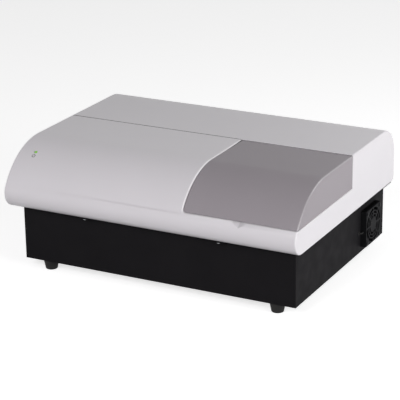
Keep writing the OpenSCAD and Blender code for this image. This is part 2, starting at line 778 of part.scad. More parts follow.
module inlet_housing() {
  y = by1;
  color("#101010") difference() {
    union() {
      box(in_x - in_w / 2 - 2, y, in_z - in_h / 2 - 2, in_w + 4, 3, in_h + 4);
      box(in_x - in_w / 2 + seat, y - 22, in_z - in_h / 2 + seat, in_w - 2 * seat, 22 + eps,
        in_h - 2 * seat);
    }
    box(in_x - sock_w / 2, y - 14, in_z - 3.5, sock_w, 20, sock_h);
    box(in_x - sock_w / 2, y - 18, in_z - 13, sock_w, 24, 7.5);
  }
}

module inlet_pins() {
  color("silver") for (dx = [-7, 0, 7])
    box(in_x + dx - 1, by1 - 14, in_z + (dx == 0 ? 6.5 : 2), 2, 12, 4);
}

module fuse_drawer() {
  z = in_z - 13 + seat;
  w = sock_w - 2 * seat;
  color("#181818") difference() {
    union() {
      box(in_x - w / 2, by1 - 17, z, w, 20, 7.5 - 2 * seat);
      box(in_x - 4, by1 + 3 - eps, z + 1.5, 8, 1.5, 4);
    }
    for (dx = [-6, 6]) rod_x(in_x + dx - 5, by1 - 8, z + 4.6, 2.65, 10);
    for (dx = [-6, 6]) box(in_x + dx - 5, by1 - 10.65, z + 4.6, 10, 5.3, 5);
  }
}

module fuses() {
  z = in_z - 13 + seat;
  color("silver") for (dx = [-6, 6]) rod_x(in_x + dx - 4.9, by1 - 8, z + 4.6, 2.5, 9.8);
}

module switch_frame() {
  color("#101010") difference() {
    union() {
      box(sw_x - sw_w / 2 - 1.5, by1, in_z - sw_h / 2 - 1.5, sw_w + 3, 2, sw_h + 3);
      box(sw_x - sw_w / 2 + seat, by1 - 16, in_z - sw_h / 2 + seat, sw_w - 2 * seat, 16 + eps,
        sw_h - 2 * seat);
    }
    box(sw_x - sw_w / 2 + 1.5, by1 - 8, in_z - sw_h / 2 + 1.5, sw_w - 3, 20, sw_h - 3);
    rod_x(sw_x - rocker_w / 2 - trunnion_l - 0.1, rocker_y, in_z, trunnion_r + run,
      rocker_w + 2 * trunnion_l + 0.2);
  }
}

// Two faces that meet at a shallow angle, tipped so that the lower one stands out.
module switch_rocker() {
  half = (sw_h - 3) / 2 - 0.7;
  end_y = half * sin(sw_tilt) + 3.4;
  color("#0c0c0c") translate([0, rocker_y, in_z]) rotate([sw_tilt, 0, 0]) {
    along_x(sw_x - rocker_w / 2, rocker_w)
      polygon([[-2.6, -2.6], [end_y, -half], [3.4, 0], [end_y, half], [-2.6, 2.6]]);
    rod_x(sw_x - rocker_w / 2 - trunnion_l, 0, 0, trunnion_r, rocker_w + 2 * trunnion_l);
  }
}

module usb_socket() {
  z = board_z + board_t;
  color("silver") difference() {
    box(usb_x - usb_w / 2, by1 - 16, z, usb_w, 17, usb_h);
    box(usb_x - 4.3, by1 - 9, z + 1.5, 8.6, 12, 7.8);
  }
}

module serial_socket() {
  z = board_z + board_t;
  color("silver") difference() {
    union() {
      box(serial_x - 15.4, by1 - 14, z, 30.8, 12.5 - eps, 12.5);
      box(serial_x - 8.5, by1 - 2, z + 2, 17, 7.5, 8.5);
      for (dx = [-12.5, 12.5]) rod_y(serial_x + dx, by1, z + 6.3, 2.6, 4);
      for (dx = [-11, 11]) box(serial_x + dx - 1, by1 - 2, z + 4.3, 2, 2.4, 4);
    }
    box(serial_x - 7.7, by1 - 1, z + 2.8, 15.4, 8, 6.9);
  }
}

module main_board() {
  color("darkgreen") difference() {
    box(board_x, board_y, board_z, board_l, board_w, board_t);
    for (x = [board_x + 6, board_x + board_l - 6], y = [board_y + 6, board_y + board_w - 12])
      rod_up(x, y, board_z - 1, 1.7, board_t + 2);
  }
}

module board_parts() {
  z = board_z + board_t;
  color("#262628") {
    for (y = [14, 34, 54]) box(board_x, board_y + y - 5, z, 8, 10, 8);
    box(board_x + board_l - 8, fan_lead_y - 4, z, 8, 8, 8);
    box(board_x + 54, board_y, z, 20, 8, 8);
    box(board_x + 104, board_y, z, 12, 8, 8);
    box(opt_x - 11, board_y, z, 22, 6, 6);
    box(board_x + 55, board_y + 50, z, 20, 20, 2.4);
    for (y = [40, 60]) box(board_x + 100, board_y + y, z, 12, 8, 1.8);
    for (i = [0:2]) rod_up(board_x + 132, board_y + 30 + i * 16, z, 5, 13);
  }
}

module board_spacers() {
  color("gold") for (x = [board_x + 6, board_x + board_l - 6], y = [board_y + 6, board_y + board_w - 12]) {
    rod_up(x, y, floor_top, 3, board_z - floor_top);
    rod_up(x, y, board_z - eps, 1.5, board_t + eps);
    rod_up(x, y, board_z + board_t, 2.8, 1.8);
  }
}

module power_supply() {
  color("silver") difference() {
    box(psu_x, psu_y, floor_top, psu_l, psu_w, psu_h);
    for (i = [0:9]) box(psu_x + 12 + i * 9, psu_y + 14, floor_top + psu_h - 1, 4, 46, 2);
    rod_y(in_x, psu_y + psu_w - 4, floor_top + 26, 2.8, 8);
    rod_x(psu_x + psu_l - 4, board_y + 54, header_z, 2.7, 8);
    rod_up(psu_x + 11, light_y, floor_top + psu_h - 4, 2.7, 8);
  }
}

module power_leads() {
  y = by1 - 22;
  z = floor_top + 26;
  color("#2b2b2d") {
    wire([[in_x, y, in_z + 8], [in_x, y - 9, in_z + 8], [in_x, y - 9, z],
      [in_x, psu_y + psu_w - 3, z]], 2.5, 4.5);
    wire([[in_x + 9, y, in_z], [in_x + 9, y - 6, in_z], [sw_x, y - 6, in_z], [sw_x, by1 - 16, in_z]], 2, 4);
    straight([psu_x + psu_l - 3, board_y + 54, header_z], [board_x, board_y + 54, header_z], 2.5);
    straight([psu_x + 11, light_y, lamp_floor()], [psu_x + 11, light_y, floor_top + psu_h - 3], 2.5);
  }
}

module motor_leads() {
  x1 = board_x - 15;
  m = belt_y + motor_side / 2;
  fx = wheel_x + 57;
  color("#404346") {
    wire([[drive_x, m, deck_z - 30], [drive_x, m + 14, deck_z - 30], [x1, m + 14, deck_z - 30],
      [x1, m + 14, header_z], [x1, board_y + 14, header_z], [board_x, board_y + 14, header_z]], 1.8);
    wire([[bracket_x + 2 + small_motor_l, wheel_y, light_z - 8], [fx, wheel_y, light_z - 8],
      [fx, wheel_y, deck_z - 20], [fx, board_y + 34, deck_z - 20], [x1, board_y + 34, deck_z - 20],
      [x1, board_y + 34, header_z], [board_x, board_y + 34, header_z]], 1.8);
  }
}

module detector_ribbon() {
  y = tr_y + 15;
  color("lightgray") {
    box(opt_x - 10, y, floor_top + 0.3, 20, 1, rim_z + 2 - floor_top - 0.3);
    box(opt_x - 10, y + 1 - eps, floor_top + 0.3, 20, board_y - 6 - y, 1);
    box(opt_x - 10, board_y - 5, floor_top + 1.3 - eps, 20, 1, header_z - floor_top - 1.3);
    box(opt_x - 10, board_y - 4 - eps, header_z - 1, 20, 4 + eps, 1);
  }
}

module guide_rods() {
  color("silver") for (y = rod_ys) rod_x(sup_left, y, rod_z, rod_r, sup_right + sup_w - sup_left);
}

module rod_supports() {
  half = rod_gap / 2 + 9;
  color("#b8bcc0") for (x = [sup_left, sup_right]) difference() {
    box(x, tr_y - half, rim_z, sup_w, 2 * half, rod_rise + rod_r + 3);
    box(x - 1, tr_y - half + 22, rim_z + 6, sup_w + 2, 2 * half - 44, 40);
    for (y = rod_ys) rod_x(x - 1, y, rod_z, rod_r + eps, sup_w + 2);
  }
}

// The carriage holds a plate in its nest over a window and runs on four bushes.
module carriage() {
  color("#2e3033") difference() {
    union() {
      box(load_x - car_l / 2, tr_y - car_w / 2, car_z, car_l, car_w, car_top - car_z);
      for (dx = [-bush_dx, bush_dx], y = rod_ys)
        box(load_x + dx - bush_l / 2 - 2, y - house_half, rod_z - house_half, bush_l + 4, 2 * house_half,
          car_z - rod_z + house_half + eps);
      box(load_x - 14, tr_y + car_w / 2 - eps, car_z, 28, belt_y - 8 + 4.8 - tr_y - car_w / 2, 4);
      box(load_x - 14, strand_y - belt_t / 2 - 0.15 - 1.9, belt_z - 1, 28, 1.9, car_z - belt_z + 1 + eps);
      box(load_x - car_l / 2, tr_y - car_w / 2 - flag_w, car_z + 2, flag_l, flag_w + eps, 1.5);
    }
    box(load_x - plate_l / 2 - seat, tr_y - plate_w / 2 - seat, nest_z, plate_l + 2 * seat,
      plate_w + 2 * seat, 20);
    box(load_x - 56, tr_y - 37, car_z - 1, 112, 74, 20);
    for (side = [-1, 1]) box(load_x - 16, tr_y + side * (car_w / 2 - 5) - 6, nest_z + 0.5, 32, 12, 20);
    for (dx = [-bush_dx, bush_dx], y = rod_ys)
      rod_x(load_x + dx - bush_l, y, rod_z, bush_r + eps, 2 * bush_l);
    box(lever_x - 3.7, lever_y - 5, nest_z, 9.6, 34, 20);
    rod_up(lever_x, lever_y, car_z - 1, 1.5, 10);
  }
}

module carriage_bushes() {
  color("peru") for (dx = [-bush_dx, bush_dx], y = rod_ys) difference() {
    rod_x(load_x + dx - bush_l / 2, y, rod_z, bush_r, bush_l);
    rod_x(load_x + dx - bush_l, y, rod_z, rod_r + run, 2 * bush_l);
  }
}

module lever_pin() {
  color("silver") rod_up(lever_x, lever_y, car_z, 1.49, 11);
}

// A sprung finger that pushes the plate into the nest's corner.
module plate_lever() {
  color("#c8501e") difference() {
    union() {
      rod_up(lever_x, lever_y, nest_z + 0.3, 3, 6);
      box(lever_x - 1.6, lever_y, nest_z + 0.3, 3.2, 24, 6);
      rod_up(lever_x, lever_y + 24, nest_z + 0.3, 2.6, 6);
    }
    rod_up(lever_x, lever_y, nest_z - 1, 1.49 + run, 12);
  }
}

module belt_grip() {
  color("#b8bcc0") {
    box(load_x - 12, strand_y + belt_t / 2 + 0.15, belt_z - 1, 24, 1.9, car_z - belt_z + 1);
    for (dx = [-8, 8]) rod_y(load_x + dx, strand_y + belt_t / 2 + 2.05, car_z - 3.5, 2.2, 1.4);
  }
}

module belt_path(r) {
  for (x = [drive_x, idler_x]) translate([x, belt_y]) circle(r = r);
  translate([drive_x, belt_y - r]) square([idler_x - drive_x, 2 * r]);
}

module drive_belt() {
  color("#1a1a1a") translate([0, 0, belt_z]) linear_extrude(belt_w) difference() {
    belt_path(belt_in + belt_t);
    belt_path(belt_in);
  }
}

module drive_motor() {
  half = motor_side / 2;
  color("#333336") difference() {
    union() {
      box(drive_x - half, belt_y - half, deck_z - motor_h, motor_side, motor_side, motor_h);
      rod_up(drive_x, belt_y, deck_z - eps, 11, 2);
      for (dx = [-15.5, 15.5], dy = [-15.5, 15.5]) rod_up(drive_x + dx, belt_y + dy, rim_z, 2.7, 1.7);
    }
    rod_up(drive_x, belt_y, deck_z - motor_h + 4, shaft_r + run, motor_h + 10);
  }
}

module pulley(x, bore) {
  difference() {
    union() {
      rod_up(x, belt_y, belt_z - 0.7, pulley_r, belt_w + 1.4);
      for (z = [belt_z - 1.9, belt_z + belt_w + 0.7]) rod_up(x, belt_y, z, pulley_r + 1.4, 1.2);
    }
    rod_up(x, belt_y, belt_z - 5, bore, belt_w + 10);
  }
}

module drive_pulley() {
  color("silver") {
    pulley(drive_x, shaft_r);
    rod_up(drive_x, belt_y, deck_z - motor_h + 4.3, shaft_r, motor_h + belt_z - deck_z + belt_w);
  }
}

module idler_pulley() {
  color("silver") pulley(idler_x, shaft_r + run);
}

module idler_axle() {
  color("#8a8d90") {
    box(idler_x - 10, belt_y - 8, rim_z, 20, 16, 3);
    rod_up(idler_x, belt_y, rim_z + 3 - eps, shaft_r, belt_z + belt_w + 2.2 - rim_z - 3);
    rod_up(idler_x, belt_y, rim_z + 3 - eps, 4.5, belt_z - 2.2 - rim_z - 3);
    rod_up(idler_x, belt_y, belt_z + belt_w + 2.2 - eps, 4.5, 1.5);
  }
}

module home_sensor() {
  color("#222224") difference() {
    box(home_x - 6, home_y, rim_z, 12, 10, car_z + 12 - rim_z);
    box(home_x - 7, home_y + 4, car_z - 1, 14, 10, 7);
  }
}

// The bridge spans the transport and carries one lens and one fibre for each channel.
module optical_bridge() {
  color("#b8bcc0") difference() {
    union() {
      box(opt_x - bridge_w / 2, bridge_front, head_z, bridge_w, bridge_back - bridge_front, bridge_t);
      for (y = [bridge_front, bridge_back - pillar_t])
        box(opt_x - bridge_w / 2, y, rim_z, bridge_w, pillar_t, head_z - rim_z + eps);
    }
    for (i = [0:channels - 1])
      rod_up(opt_x, channel_y(i), head_z - 1, well_r, bridge_t + 2);
  }
}

function channel_y(i) = tr_y + (i - (channels - 1) / 2) * well_pitch;

module head_lenses() {
  color("lightcyan") for (i = [0:channels - 1]) rod_up(opt_x, channel_y(i), head_z + 1, well_r - eps, 3);
}

// One jacketed bundle from the filter wheel to a block that parts it into single fibres.
module fibre_bundle() {
  top = head_z + bridge_t;
  span = channels * well_pitch;
  color("#202020") {
    difference() {
      box(opt_x - 8, tr_y - span / 2, top, 16, span, 7);
      rod_up(opt_x, tr_y, top + 4, 4, 5);
    }
    for (i = [0:channels - 1]) rod_up(opt_x, channel_y(i), head_z + 5, fibre_r, bridge_t - 5 + eps);
    rod_x(wheel_x + wheel_t + 1, light_y, light_z, 5 - seat, 22);
    wire([[wheel_x + wheel_t + 23, light_y, light_z], [opt_x, light_y, light_z],
      [opt_x, light_y, inner_top - 10], [opt_x, tr_y, inner_top - 10], [opt_x, tr_y, top + 4]], 3.5, 12);
  }
}

module detector_block() {
  half = (channels - 1) / 2 * well_pitch + 4;
  z = rim_z + 3.6;
  color("#77797c") difference() {
    box(opt_x - 10, tr_y - half, z, 20, 2 * half, car_z - 1.5 - z);
    for (i = [0:channels - 1]) rod_up(opt_x, channel_y(i), z + 3, 2.5, 30);
  }
}

module detector_board() {
  half = (channels - 1) / 2 * well_pitch + 4;
  color("darkgreen") box(opt_x - 12, tr_y - half, rim_z + 2, 24, 2 * half, 1.6);
  color("gold") for (dy = [-half + 5, half - 5]) rod_up(opt_x, tr_y + dy, rim_z, 3, 2);
}

module filter_wheel() {
  color("#2a2a2c") {
    difference() {
      union() {
        rod_x(wheel_x, wheel_y, light_z, wheel_d / 2, wheel_t);
        rod_x(wheel_x - 3, wheel_y, light_z, 8, 3 + eps);
      }
      rod_x(wheel_x - 4, wheel_y, light_z, shaft_r, wheel_t + 8);
      for (i = [0:filters - 1]) wheel_place(i) rod_x(-1, 0, 0, filter_d / 2, wheel_t + 2);
    }
    rod_x(wheel_x - 3, wheel_y, light_z, shaft_r, bracket_x + 14 - wheel_x);
  }
}

module optical_filters() {
  color("slateblue") for (i = [0:filters - 1])
    wheel_place(i) rod_x(1, 0, 0, filter_d / 2 - eps, wheel_t - 2);
}

module wheel_place(i) {
  translate([wheel_x, wheel_y, light_z]) rotate([i * 360 / filters, 0, 0])
    translate([0, -filter_pcd / 2, 0]) children();
}

module filter_motor() {
  half = small_motor / 2;
  color("#333336") difference() {
    box(bracket_x + 2, wheel_y - half, light_z - half, small_motor_l, small_motor, small_motor);
    rod_x(bracket_x, wheel_y, light_z, shaft_r + run, 17);
  }
}

module filter_bracket() {
  half = small_motor / 2;
  color("#b8bcc0") difference() {
    union() {
      box(bracket_x, light_y - 12, rim_z, 2, wheel_y + half + 4 - light_y + 12, light_z + half - rim_z);
      box(bracket_x, light_y - 12, rim_z, 24, wheel_y + half + 4 - light_y + 12, 2);
    }
    rod_x(bracket_x - 1, wheel_y, light_z, 8, 4);
    rod_x(bracket_x - 1, light_y, light_z, 5, 4);
  }
}

function lamp_floor() = rim_z + 12;

// Housing of the lamp, with cooling slots and a tube for the condenser lens.
module lamp_house() {
  x = lamp_x;
  w = 44;
  color("#9a9da0") difference() {
    union() {
      box(x, light_y - w / 2, rim_z + 2, 44, w, light_z + w / 2 - rim_z - 2);
      rod_x(x + 43, light_y, light_z, 12, 17);
      box(x - 6, light_y - w / 2, rim_z, 56, w, 2 + eps);
    }
    box(x + 3, light_y - w / 2 + 3, light_z - 24, 38, w - 6, 43);
    rod_x(x + 40, light_y, light_z, 9, 22);
    for (i = [0:6]) box(x + 5 + i * 5.4, light_y - 12, light_z + 15, 2.2, 24, 20);
    rod_up(psu_x + 11, light_y, rim_z - 1, 3, lamp_floor() + 2 - rim_z);
  }
}

module lamp_bulb() {
  x = lamp_x + 17;
  color("white") rod_up(x, light_y, light_z - 24, 8, 12);
  color("lightcyan") {
    rod_up(x, light_y, light_z - 12, 4.5, 14);
    translate([x, light_y, light_z + 2]) sphere(r = 4.5);
  }
}

module condenser_lens() {
  color("lightcyan") rod_x(lamp_x + 46, light_y, light_z, 9 - eps, 5);
}

cover_shell();
lid_shell();
lid_magnet();
hinge_leaves();
hinge_pins();
base_tray();
rear_panel();
deck_plate();
feet();
foot_screws();
machine_screws();
fan_frame();
fan_rotor();
fan_lead();
fan_grommet();
compartment_liner();
lid_sensor();
power_led();
led_board();
signal_leads();
inlet_housing();
inlet_pins();
fuse_drawer();
fuses();
switch_frame();
switch_rocker();
usb_socket();
serial_socket();
main_board();
board_parts();
board_spacers();
power_supply();
power_leads();
motor_leads();
detector_ribbon();
guide_rods();
rod_supports();
carriage();
carriage_bushes();
plate_lever();
lever_pin();
belt_grip();
drive_belt();
drive_motor();
drive_pulley();
idler_pulley();
idler_axle();
home_sensor();
optical_bridge();
head_lenses();
fibre_bundle();
detector_block();
detector_board();
filter_wheel();
optical_filters();
filter_motor();
filter_bracket();
lamp_house();
lamp_bulb();
condenser_lens();
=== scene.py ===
"""Looks of a microplate reader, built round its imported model.

Lengths in the classes are millimetres in the frame of the model: X to the right, Y to the back and
Z up from the bench. The helpers that make meshes turn them into metres.
"""

import json
import logging
from collections.abc import Callable, Iterable
from dataclasses import dataclass, field, replace
from enum import Enum
from functools import cached_property
from itertools import product
from math import atan2, cos, degrees, hypot, pi, radians, sin, sqrt

import bpy
from bpy.types import Material, Node, NodeSocket, Object, Scene, World
from mathutils import Matrix, Vector

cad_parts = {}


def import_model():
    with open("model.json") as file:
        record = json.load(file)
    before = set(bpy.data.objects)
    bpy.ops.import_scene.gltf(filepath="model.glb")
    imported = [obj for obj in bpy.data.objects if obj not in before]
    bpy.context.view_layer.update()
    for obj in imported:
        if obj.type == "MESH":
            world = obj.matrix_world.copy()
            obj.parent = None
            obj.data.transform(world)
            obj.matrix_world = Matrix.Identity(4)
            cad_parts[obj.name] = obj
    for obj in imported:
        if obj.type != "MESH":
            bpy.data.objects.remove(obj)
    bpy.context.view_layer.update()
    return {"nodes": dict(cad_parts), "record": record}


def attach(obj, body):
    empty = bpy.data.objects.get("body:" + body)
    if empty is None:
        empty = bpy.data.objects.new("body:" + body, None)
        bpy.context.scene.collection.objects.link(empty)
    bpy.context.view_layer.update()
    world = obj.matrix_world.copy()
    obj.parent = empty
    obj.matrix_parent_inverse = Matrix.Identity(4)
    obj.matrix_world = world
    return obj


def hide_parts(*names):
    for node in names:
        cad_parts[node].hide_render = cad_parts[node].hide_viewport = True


LOG = logging.getLogger("reader")
Pair = tuple[float, float]
Triple = tuple[float, float, float]
PointTest = Callable[[Vector], bool]
FaceTest = Callable[[Vector, Vector], bool]
MM = 0.001
WHITE = (1.0, 1.0, 1.0, 1.0)
# How far a point may lie from a plane or from a round surface and still count as on it
NEAR = 0.02
ROUND_NEAR = 0.06
# Packed points nearer than this are welded, and faces within this angle in degrees are one face
WELD = 0.004
FLAT = 0.5


class Pick(Enum):
    """What a selection in edit mode is made of."""

    POINTS = "VERT"
    EDGES = "EDGE"
    FACES = "FACE"


class Plane(Enum):
    """A plane to draw an outline in: its two axes, and the axis that it is swept along."""

    SIDE = (1, 2, 0)
    FRONT = (0, 2, 1)


class Join(Enum):
    """How one solid changes another."""

    CUT = "DIFFERENCE"
    ADD = "UNION"
    KEEP = "INTERSECT"


def focus(piece: Object) -> None:
    """Makes one object the only selected one, and the active one.

    Args:
        piece: The object that the next operators work on.
    """
    if bpy.context.mode != "OBJECT":
        bpy.ops.object.mode_set(mode="OBJECT")
    bpy.ops.object.select_all(action="DESELECT")
    piece.select_set(True)
    bpy.context.view_layer.objects.active = piece


def select(piece: Object, pick: Pick, wanted: PointTest = lambda point: True) -> int:
    """Selects the parts of a mesh whose corners all pass a test, and leaves the mesh in edit mode.

    Args:
        piece: The object to edit.
        pick: Points, edges or faces.
        wanted: Test of one corner, in millimetres. Without it everything is taken.

    Returns:
        How many parts were taken.
    """
    focus(piece)
    mesh = piece.data
    passed = [wanted(v.co / MM) for v in mesh.vertices]
    for group in (mesh.vertices, mesh.edges, mesh.polygons):
        group.foreach_set("select", [False] * len(group))
    if pick is Pick.POINTS:
        taken = [v for v in mesh.vertices if passed[v.index]]
    else:
        group = mesh.edges if pick is Pick.EDGES else mesh.polygons
        taken = [part for part in group if all(passed[i] for i in part.vertices)]
    for part in taken:
        part.select = True
        if pick is not Pick.POINTS:
            for index in part.vertices:
                mesh.vertices[index].select = True
    if pick is Pick.FACES:
        keys = {key for part in taken for key in part.edge_keys}
        for edge in mesh.edges:
            edge.select = edge.key in keys
    bpy.context.tool_settings.mesh_select_mode = tuple(pick is p for p in Pick)
    bpy.ops.object.mode_set(mode="EDIT")
    return len(taken)


def done() -> None:
    """Leaves edit mode."""
    bpy.ops.object.mode_set(mode="OBJECT")


def modify(piece: Object, kind: str, **settings: object) -> None:
    """Adds a modifier and applies it.

    Args:
        piece: The object to change.
        kind: Type of the modifier.
        settings: The modifier's properties.
    """
    focus(piece)
    modifier = piece.modifiers.new(kind.lower(), kind)
    for name, value in settings.items():
        setattr(modifier, name, value)
    bpy.ops.object.modifier_apply(modifier=modifier.name)


def combine(piece: Object, other: Object, join: Join) -> Object:
    """Cuts, adds or keeps what another solid covers, and removes that solid.

    Args:
        piece: The object that is changed.
        other: The solid that is used up.
        join: What happens to the piece.

    Returns:
        The changed piece.
    """
    modify(piece, "BOOLEAN", object=other, operation=join.value, solver="EXACT")
    bpy.data.objects.remove(other)
    return piece


def settle(piece: Object) -> Object:
    """Moves an object's place, turn and scale into its mesh."""
    focus(piece)
    bpy.ops.object.transform_apply(location=True, rotation=True, scale=True)
    return piece


def block(name: str, low: Iterable[float], high: Iterable[float]) -> Object:
    """Adds a box between two corners, as a start for a piece or as a cutter.

    Args:
        name: Name of the object.
        low: Lowest corner.
        high: Highest corner.

    Returns:
        The box.
    """
    low, high = Vector(low) * MM, Vector(high) * MM
    bpy.ops.mesh.primitive_cube_add(size=1, location=(low + high) / 2, scale=high - low)
    bpy.context.object.name = name
    return settle(bpy.context.object)


def rod(name: str, start: Iterable[float], end: Iterable[float], radius: float,
        sides: int = 48, end_radius: float | None = None) -> Object:
    """Adds a round rod or a cone between two points.

    Args:
        name: Name of the object.
        start: Middle of the first end.
        end: Middle of the other end.
        radius: Radius at the start.
        sides: Sides of the round.
        end_radius: Radius at the other end, where it differs.

    Returns:
        The rod.
    """
    start, end = Vector(start) * MM, Vector(end) * MM
    way = end - start
    far = radius if end_radius is None else end_radius
    bpy.ops.mesh.primitive_cone_add(
        vertices=sides, radius1=radius * MM, radius2=far * MM, depth=way.length,
        location=(start + end) / 2, rotation=way.to_track_quat("Z", "Y").to_euler())
    bpy.context.object.name = name
    return settle(bpy.context.object)


class Pen:
    """Draws a closed outline with one point that is extruded and spun, and sweeps it."""

    def __init__(self, name: str, plane: Plane, level: float, at: Pair) -> None:
        """Sets the pen down.

        Args:
            name: Name of the object.
            plane: Plane of the outline.
            level: Place of the plane along the axis of the sweep.
            at: First point of the outline.
        """
        self.plane = plane
        self.level = level
        self.at = at
        bpy.ops.mesh.primitive_plane_add(size=MM, location=self.place(at))
        self.piece = settle(bpy.context.object)
        self.piece.name = name
        select(self.piece, Pick.POINTS)
        bpy.ops.mesh.merge(type="CENTER")

    def place(self, at: Pair) -> Vector:
        """Gives a point of the outline in space, in metres."""
        across, up, along = self.plane.value
        point = Vector((0, 0, 0))
        point[across], point[up], point[along] = at[0], at[1], self.level
        return point * MM

    def line(self, *points: Pair) -> "Pen":
        """Draws straight lines from point to point."""
        for to in points:
            bpy.ops.mesh.extrude_region_move(
                TRANSFORM_OT_translate={"value": self.place(to) - self.place(self.at)})
            self.at = to
        return self

    def arc(self, centre: Pair, turn: float, steps: int) -> "Pen":
        """Draws an arc.

        Args:
            centre: Centre of the arc.
            turn: Angle in degrees, anticlockwise as seen with the plane's axes right and up.
            steps: Straight steps in the arc.

        Returns:
            The pen.
        """
        axis = Vector((0, 0, 0))
        axis[self.plane.value[2]] = -1 if self.plane is Plane.FRONT else 1
        bpy.ops.mesh.spin(steps=steps, angle=-radians(turn), center=self.place(centre), axis=axis)
        angle = radians(turn)
        across, up = self.at[0] - centre[0], self.at[1] - centre[1]
        self.at = (centre[0] + across * cos(angle) - up * sin(angle),
                   centre[1] + across * sin(angle) + up * cos(angle))
        return self

    def sweep(self, length: float) -> Object:
        """Closes the outline, fills it and sweeps it along the third axis.

        Args:
            length: Length of the sweep.

        Returns:
            The closed solid.
        """
        bpy.ops.mesh.select_all(action="SELECT")
        bpy.ops.mesh.remove_doubles(threshold=0.005 * MM)
        bpy.ops.mesh.select_all(action="SELECT")
        bpy.ops.mesh.edge_face_add()
        offset = Vector((0, 0, 0))
        offset[self.plane.value[2]] = length * MM
        bpy.ops.mesh.extrude_region_move(TRANSFORM_OT_translate={"value": offset})
        bpy.ops.mesh.select_all(action="SELECT")
        bpy.ops.mesh.normals_make_consistent(inside=False)
        done()
        return self.piece


def round_edges(piece: Object, width: float, segments: int, wanted: PointTest) -> None:
    """Rounds the edges whose two corners pass a test.

    Args:
        piece: The object to change.
        width: Width of the rounding.
        segments: Steps in the rounding.
        wanted: Test of one corner.
    """
    if select(piece, Pick.EDGES, wanted):
        bpy.ops.mesh.bevel(offset=width * MM, segments=segments, affect="EDGES",
                           clamp_overlap=False)
    done()


def faces_right(start: float, end: float) -> FaceTest:
    """Makes a test for the faces of a rounded edge that looks to the right.

    Args:
        start: Place along X where the rounding starts.
        end: Place where it ends.

    Returns:
        Test of a face's middle and normal.
    """
    return lambda middle, normal: start < middle.x < end and 0.1 < normal.x < 0.97


def smooth(piece: Object, angle: float = 35) -> Object:
    """Shades a piece smooth up to an angle, with flat faces kept flat.

    Args:
        piece: The object to shade.
        angle: Largest angle in degrees that is shaded smooth.

    Returns:
        The piece.
    """
    focus(piece)
    bpy.ops.object.shade_smooth_by_angle(angle=radians(angle))
    modify(piece, "WEIGHTED_NORMAL", keep_sharp=True, weight=100)
    return piece


def merge(pieces: list[Object], name: str) -> Object:
    """Joins objects into one.

    Args:
        pieces: The objects, of which the first one stays.
        name: New name.

    Returns:
        The joined object.
    """
    focus(pieces[0])
    for piece in pieces:
        piece.select_set(True)
    if len(pieces) > 1:
        bpy.ops.object.join()
    pieces[0].name = name
    return pieces[0]


def srgb(code: str) -> tuple[float, float, float, float]:
    """Turns a hex colour into linear values.

    Args:
        code: Six hex digits, as "e2e2e4".

    Returns:
        Red, green, blue and alpha, linear.
    """
    parts = [int(code[i:i + 2], 16) / 255 for i in (0, 2, 4)]
    return (*((c / 12.92 if c <= 0.04045 else ((c + 0.055) / 1.055) ** 2.4) for c in parts), 1.0)


def darker(code: str, share: float) -> tuple[float, float, float, float]:
    """Turns a hex colour into linear values and darkens them.

    Args:
        code: Six hex digits.
        share: How much of the brightness stays.

    Returns:
        Red, green, blue and alpha, linear.
    """
    return (*(value * share for value in srgb(code)[:3]), 1.0)


